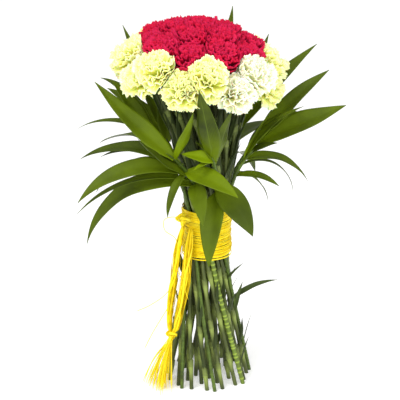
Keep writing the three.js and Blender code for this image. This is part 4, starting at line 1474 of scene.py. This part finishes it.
    def loose_threads(self) -> bpy.types.Object:
        """Makes the thin threads that stray from the tails: a loop beside the knot, and ends that stick out.

        Returns:
            The threads' object.
        """
        draft = Draft()
        knot, low = self.knot_middle, self.tail_line(self.tails[0], self.line_points)
        paths = (
            [knot, knot + [-14, -4, 6], knot + [-27, -6, 2], knot + [-26, -6, -14], knot + [-12, -4, -26], low[12]],
            [low[34], low[38] + [-14, -2, -6], low[40] + [-34, -4, -14], low[42] + [-52, -6, -16]],
            [low[22], low[26] + [10, -14, -8], low[34] + [22, -20, -14]],
            [low[44], low[46] + [-10, -4, -10], low[50] + [-26, -10, -26], low[54] + [-38, -12, -40]],
        )
        for path in paths:
            line = smooth_line([tuple(p) for p in path], 40)
            line[:, 2] = np.maximum(line[:, 2], self.floor_clear)
            self.ribbon(draft, line, 0.5, 0.25, np.array([0.2, -1.0, 0.3]), 0.7)
        return draft.write("raffia_loose_threads", self.finish, ["raffia_fringe"], "raffia")

    def build(self) -> None:
        """Makes every piece of the tie."""
        self.tail(1, [*self.fringe(), self.loose_threads()])
        self.tail(2, [])
        self.knot("raffia_knot_loops", "raffia_knot", self.knot_middle, (9.0, 13.0, 11.0), self.knot_angle)
        self.band()


# ---- The studio ----------------------------------------------------------------------------------


@dataclass
class Studio:
    """A plain pale floor, soft light from a large overhead source and a fill, and the camera."""

    axis_xy: tuple[float, float]  # where the tie's axis stands, in millimetres
    elevation: float = 20.5
    aim: tuple[float, float, float] = (-10.0, 0.0, 276.0)  # from the foot of that axis
    view_wide: float = 0.58  # the width that the picture takes in at the bunch
    distance: float = 3.0
    sensor: float = 36.0

    def camera(self) -> None:
        """Puts the camera in front of the bunch, looking a little down on it."""
        data = bpy.data.cameras.new("camera")
        data.sensor_width = self.sensor
        data.lens = self.sensor * self.distance / self.view_wide
        data.clip_end = 50
        camera = bpy.data.objects.new("camera", data)
        e = math.radians(self.elevation)
        x, y, z = ((a + b) * MM for a, b in zip(self.aim, (*self.axis_xy, 0.0)))
        camera.location = (x, y - self.distance * math.cos(e), z + self.distance * math.sin(e))
        camera.rotation_euler = (math.pi / 2 - e, 0, 0)
        bpy.context.scene.collection.objects.link(camera)
        bpy.context.scene.camera = camera

    def area(self, name: str, place: tuple[float, float, float], size: float, watts: float) -> None:
        """Adds a square soft light that faces the middle of the bunch.

        Args:
            name: the light's name.
            place: where it stands, in metres.
            size: its side, in metres.
            watts: its power.
        """
        data = bpy.data.lights.new(name, "AREA")
        data.size, data.energy = size, watts
        lamp = bpy.data.objects.new(name, data)
        lamp.location = place
        aim = np.array([0.0, 0.0, 0.3]) - np.array(place)
        down = math.atan2(math.hypot(aim[0], aim[1]), -aim[2])
        lamp.rotation_euler = (down, 0, math.atan2(aim[1], aim[0]) - math.pi / 2)
        bpy.context.scene.collection.objects.link(lamp)

    def build(self) -> None:
        """Makes the floor, the lights, the world and the camera."""
        mesh = bpy.data.meshes.new("floor")
        half = 9.0
        mesh.from_pydata([(-half, -half, 0), (half, -half, 0), (half, half, 0), (-half, half, 0)], [], [(0, 1, 2, 3)])
        floor = bpy.data.objects.new("floor", mesh)
        bpy.context.scene.collection.objects.link(floor)
        material, tree = new_tree("matt white backdrop paper")
        paper = add_node(
            tree, "ShaderNodeBsdfPrincipled",
            {
                "Base Color": linear("#f4f4f4"), "Roughness": 0.9,
                "Emission Color": linear("#ffffff"), "Emission Strength": 0.22,
            },
        )
        add_node(tree, "ShaderNodeOutputMaterial", {"Surface": paper.outputs["BSDF"]})
        mesh.materials.append(material)
        world = bpy.data.worlds.new("studio")
        world.use_nodes = True
        world.node_tree.nodes["Background"].inputs["Color"].default_value = (1.0, 1.0, 1.0, 1.0)
        world.node_tree.nodes["Background"].inputs["Strength"].default_value = 0.75
        bpy.context.scene.world = world
        self.area("key", (-1.4, -1.6, 2.4), 1.6, 52)
        self.area("fill", (1.8, -1.8, 1.2), 1.6, 20)
        self.area("front", (0.3, -2.4, 1.6), 1.4, 26)
        self.camera()
        bpy.context.scene.view_settings.view_transform = "Standard"


# ---- The bunch -----------------------------------------------------------------------------------


def stem_groups(flowers: list[Flower]) -> list[tuple[str, list[Flower]]]:
    """Which flowers' stems share a solid: the core of six, and then neighbours in pairs.

    Args:
        flowers: all the flowers.

    Returns:
        Each group's node name and its flowers.
    """
    core = [f for f in flowers if f.plan.ring in (Ring.MIDDLE, Ring.CORE)]
    groups = [("red_stems_core", core)]
    for ring in (Ring.INNER, Ring.OUTER):
        own = [f for f in flowers if f.plan.ring is ring]
        for i in range(0, len(own), 2):
            groups.append((f"{own[i].plan.colour}_stem_pair_{i // 2 + 1:02d}", own[i : i + 2]))
    return groups


def main() -> None:
    """Builds the studio and every piece of the bunch, in order."""
    logging.basicConfig(level=logging.INFO, format="%(message)s")
    low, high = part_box("raffia_band")
    middle = [(a + b) / 2 / MM for a, b in zip(low, high)]
    axis_xy = (middle[0], middle[1])
    Studio(axis_xy).build()
    bundle = Bundle(axis_xy=axis_xy)
    flowers = bundle.flowers()

    petal = {"red": RED_PETAL.material(), "cream": CREAM_PETAL.material(), "pale": PALE_PETAL.material()}
    calyx, stem, cane = CALYX_SKIN.material(), STEM_SKIN.material(), CANE_SKIN.material()
    leaf, grass, raffia = LEAF_SKIN.material(), GRASS_SKIN.material(), RAFFIA_SKIN.material()

    RaffiaTie(bundle, raffia).build()
    for node, own in stem_groups(flowers):
        StemGroup(node, own, bundle, stem, grass).build()
    for number in range(1, len(SPRIGS) + 1):
        Sprig(number, bundle, leaf, cane).build()
    for flower in flowers:
        near = 2 * bundle.bloom_r + bundle.bloom_r * 0.3
        rivals = [f.centre for f in flowers if f is not flower and np.linalg.norm(f.centre - flower.centre) < near]
        habit = TIGHT if flower.plan.colour == "red" else OPEN
        pale = flower.plan.colour == "cream" and flower.number in PALE_BLOOMS
        Bloom(flower, bundle, rivals, petal["pale" if pale else flower.plan.colour], calyx, habit).build()


if __name__ == "__main__":
    main()
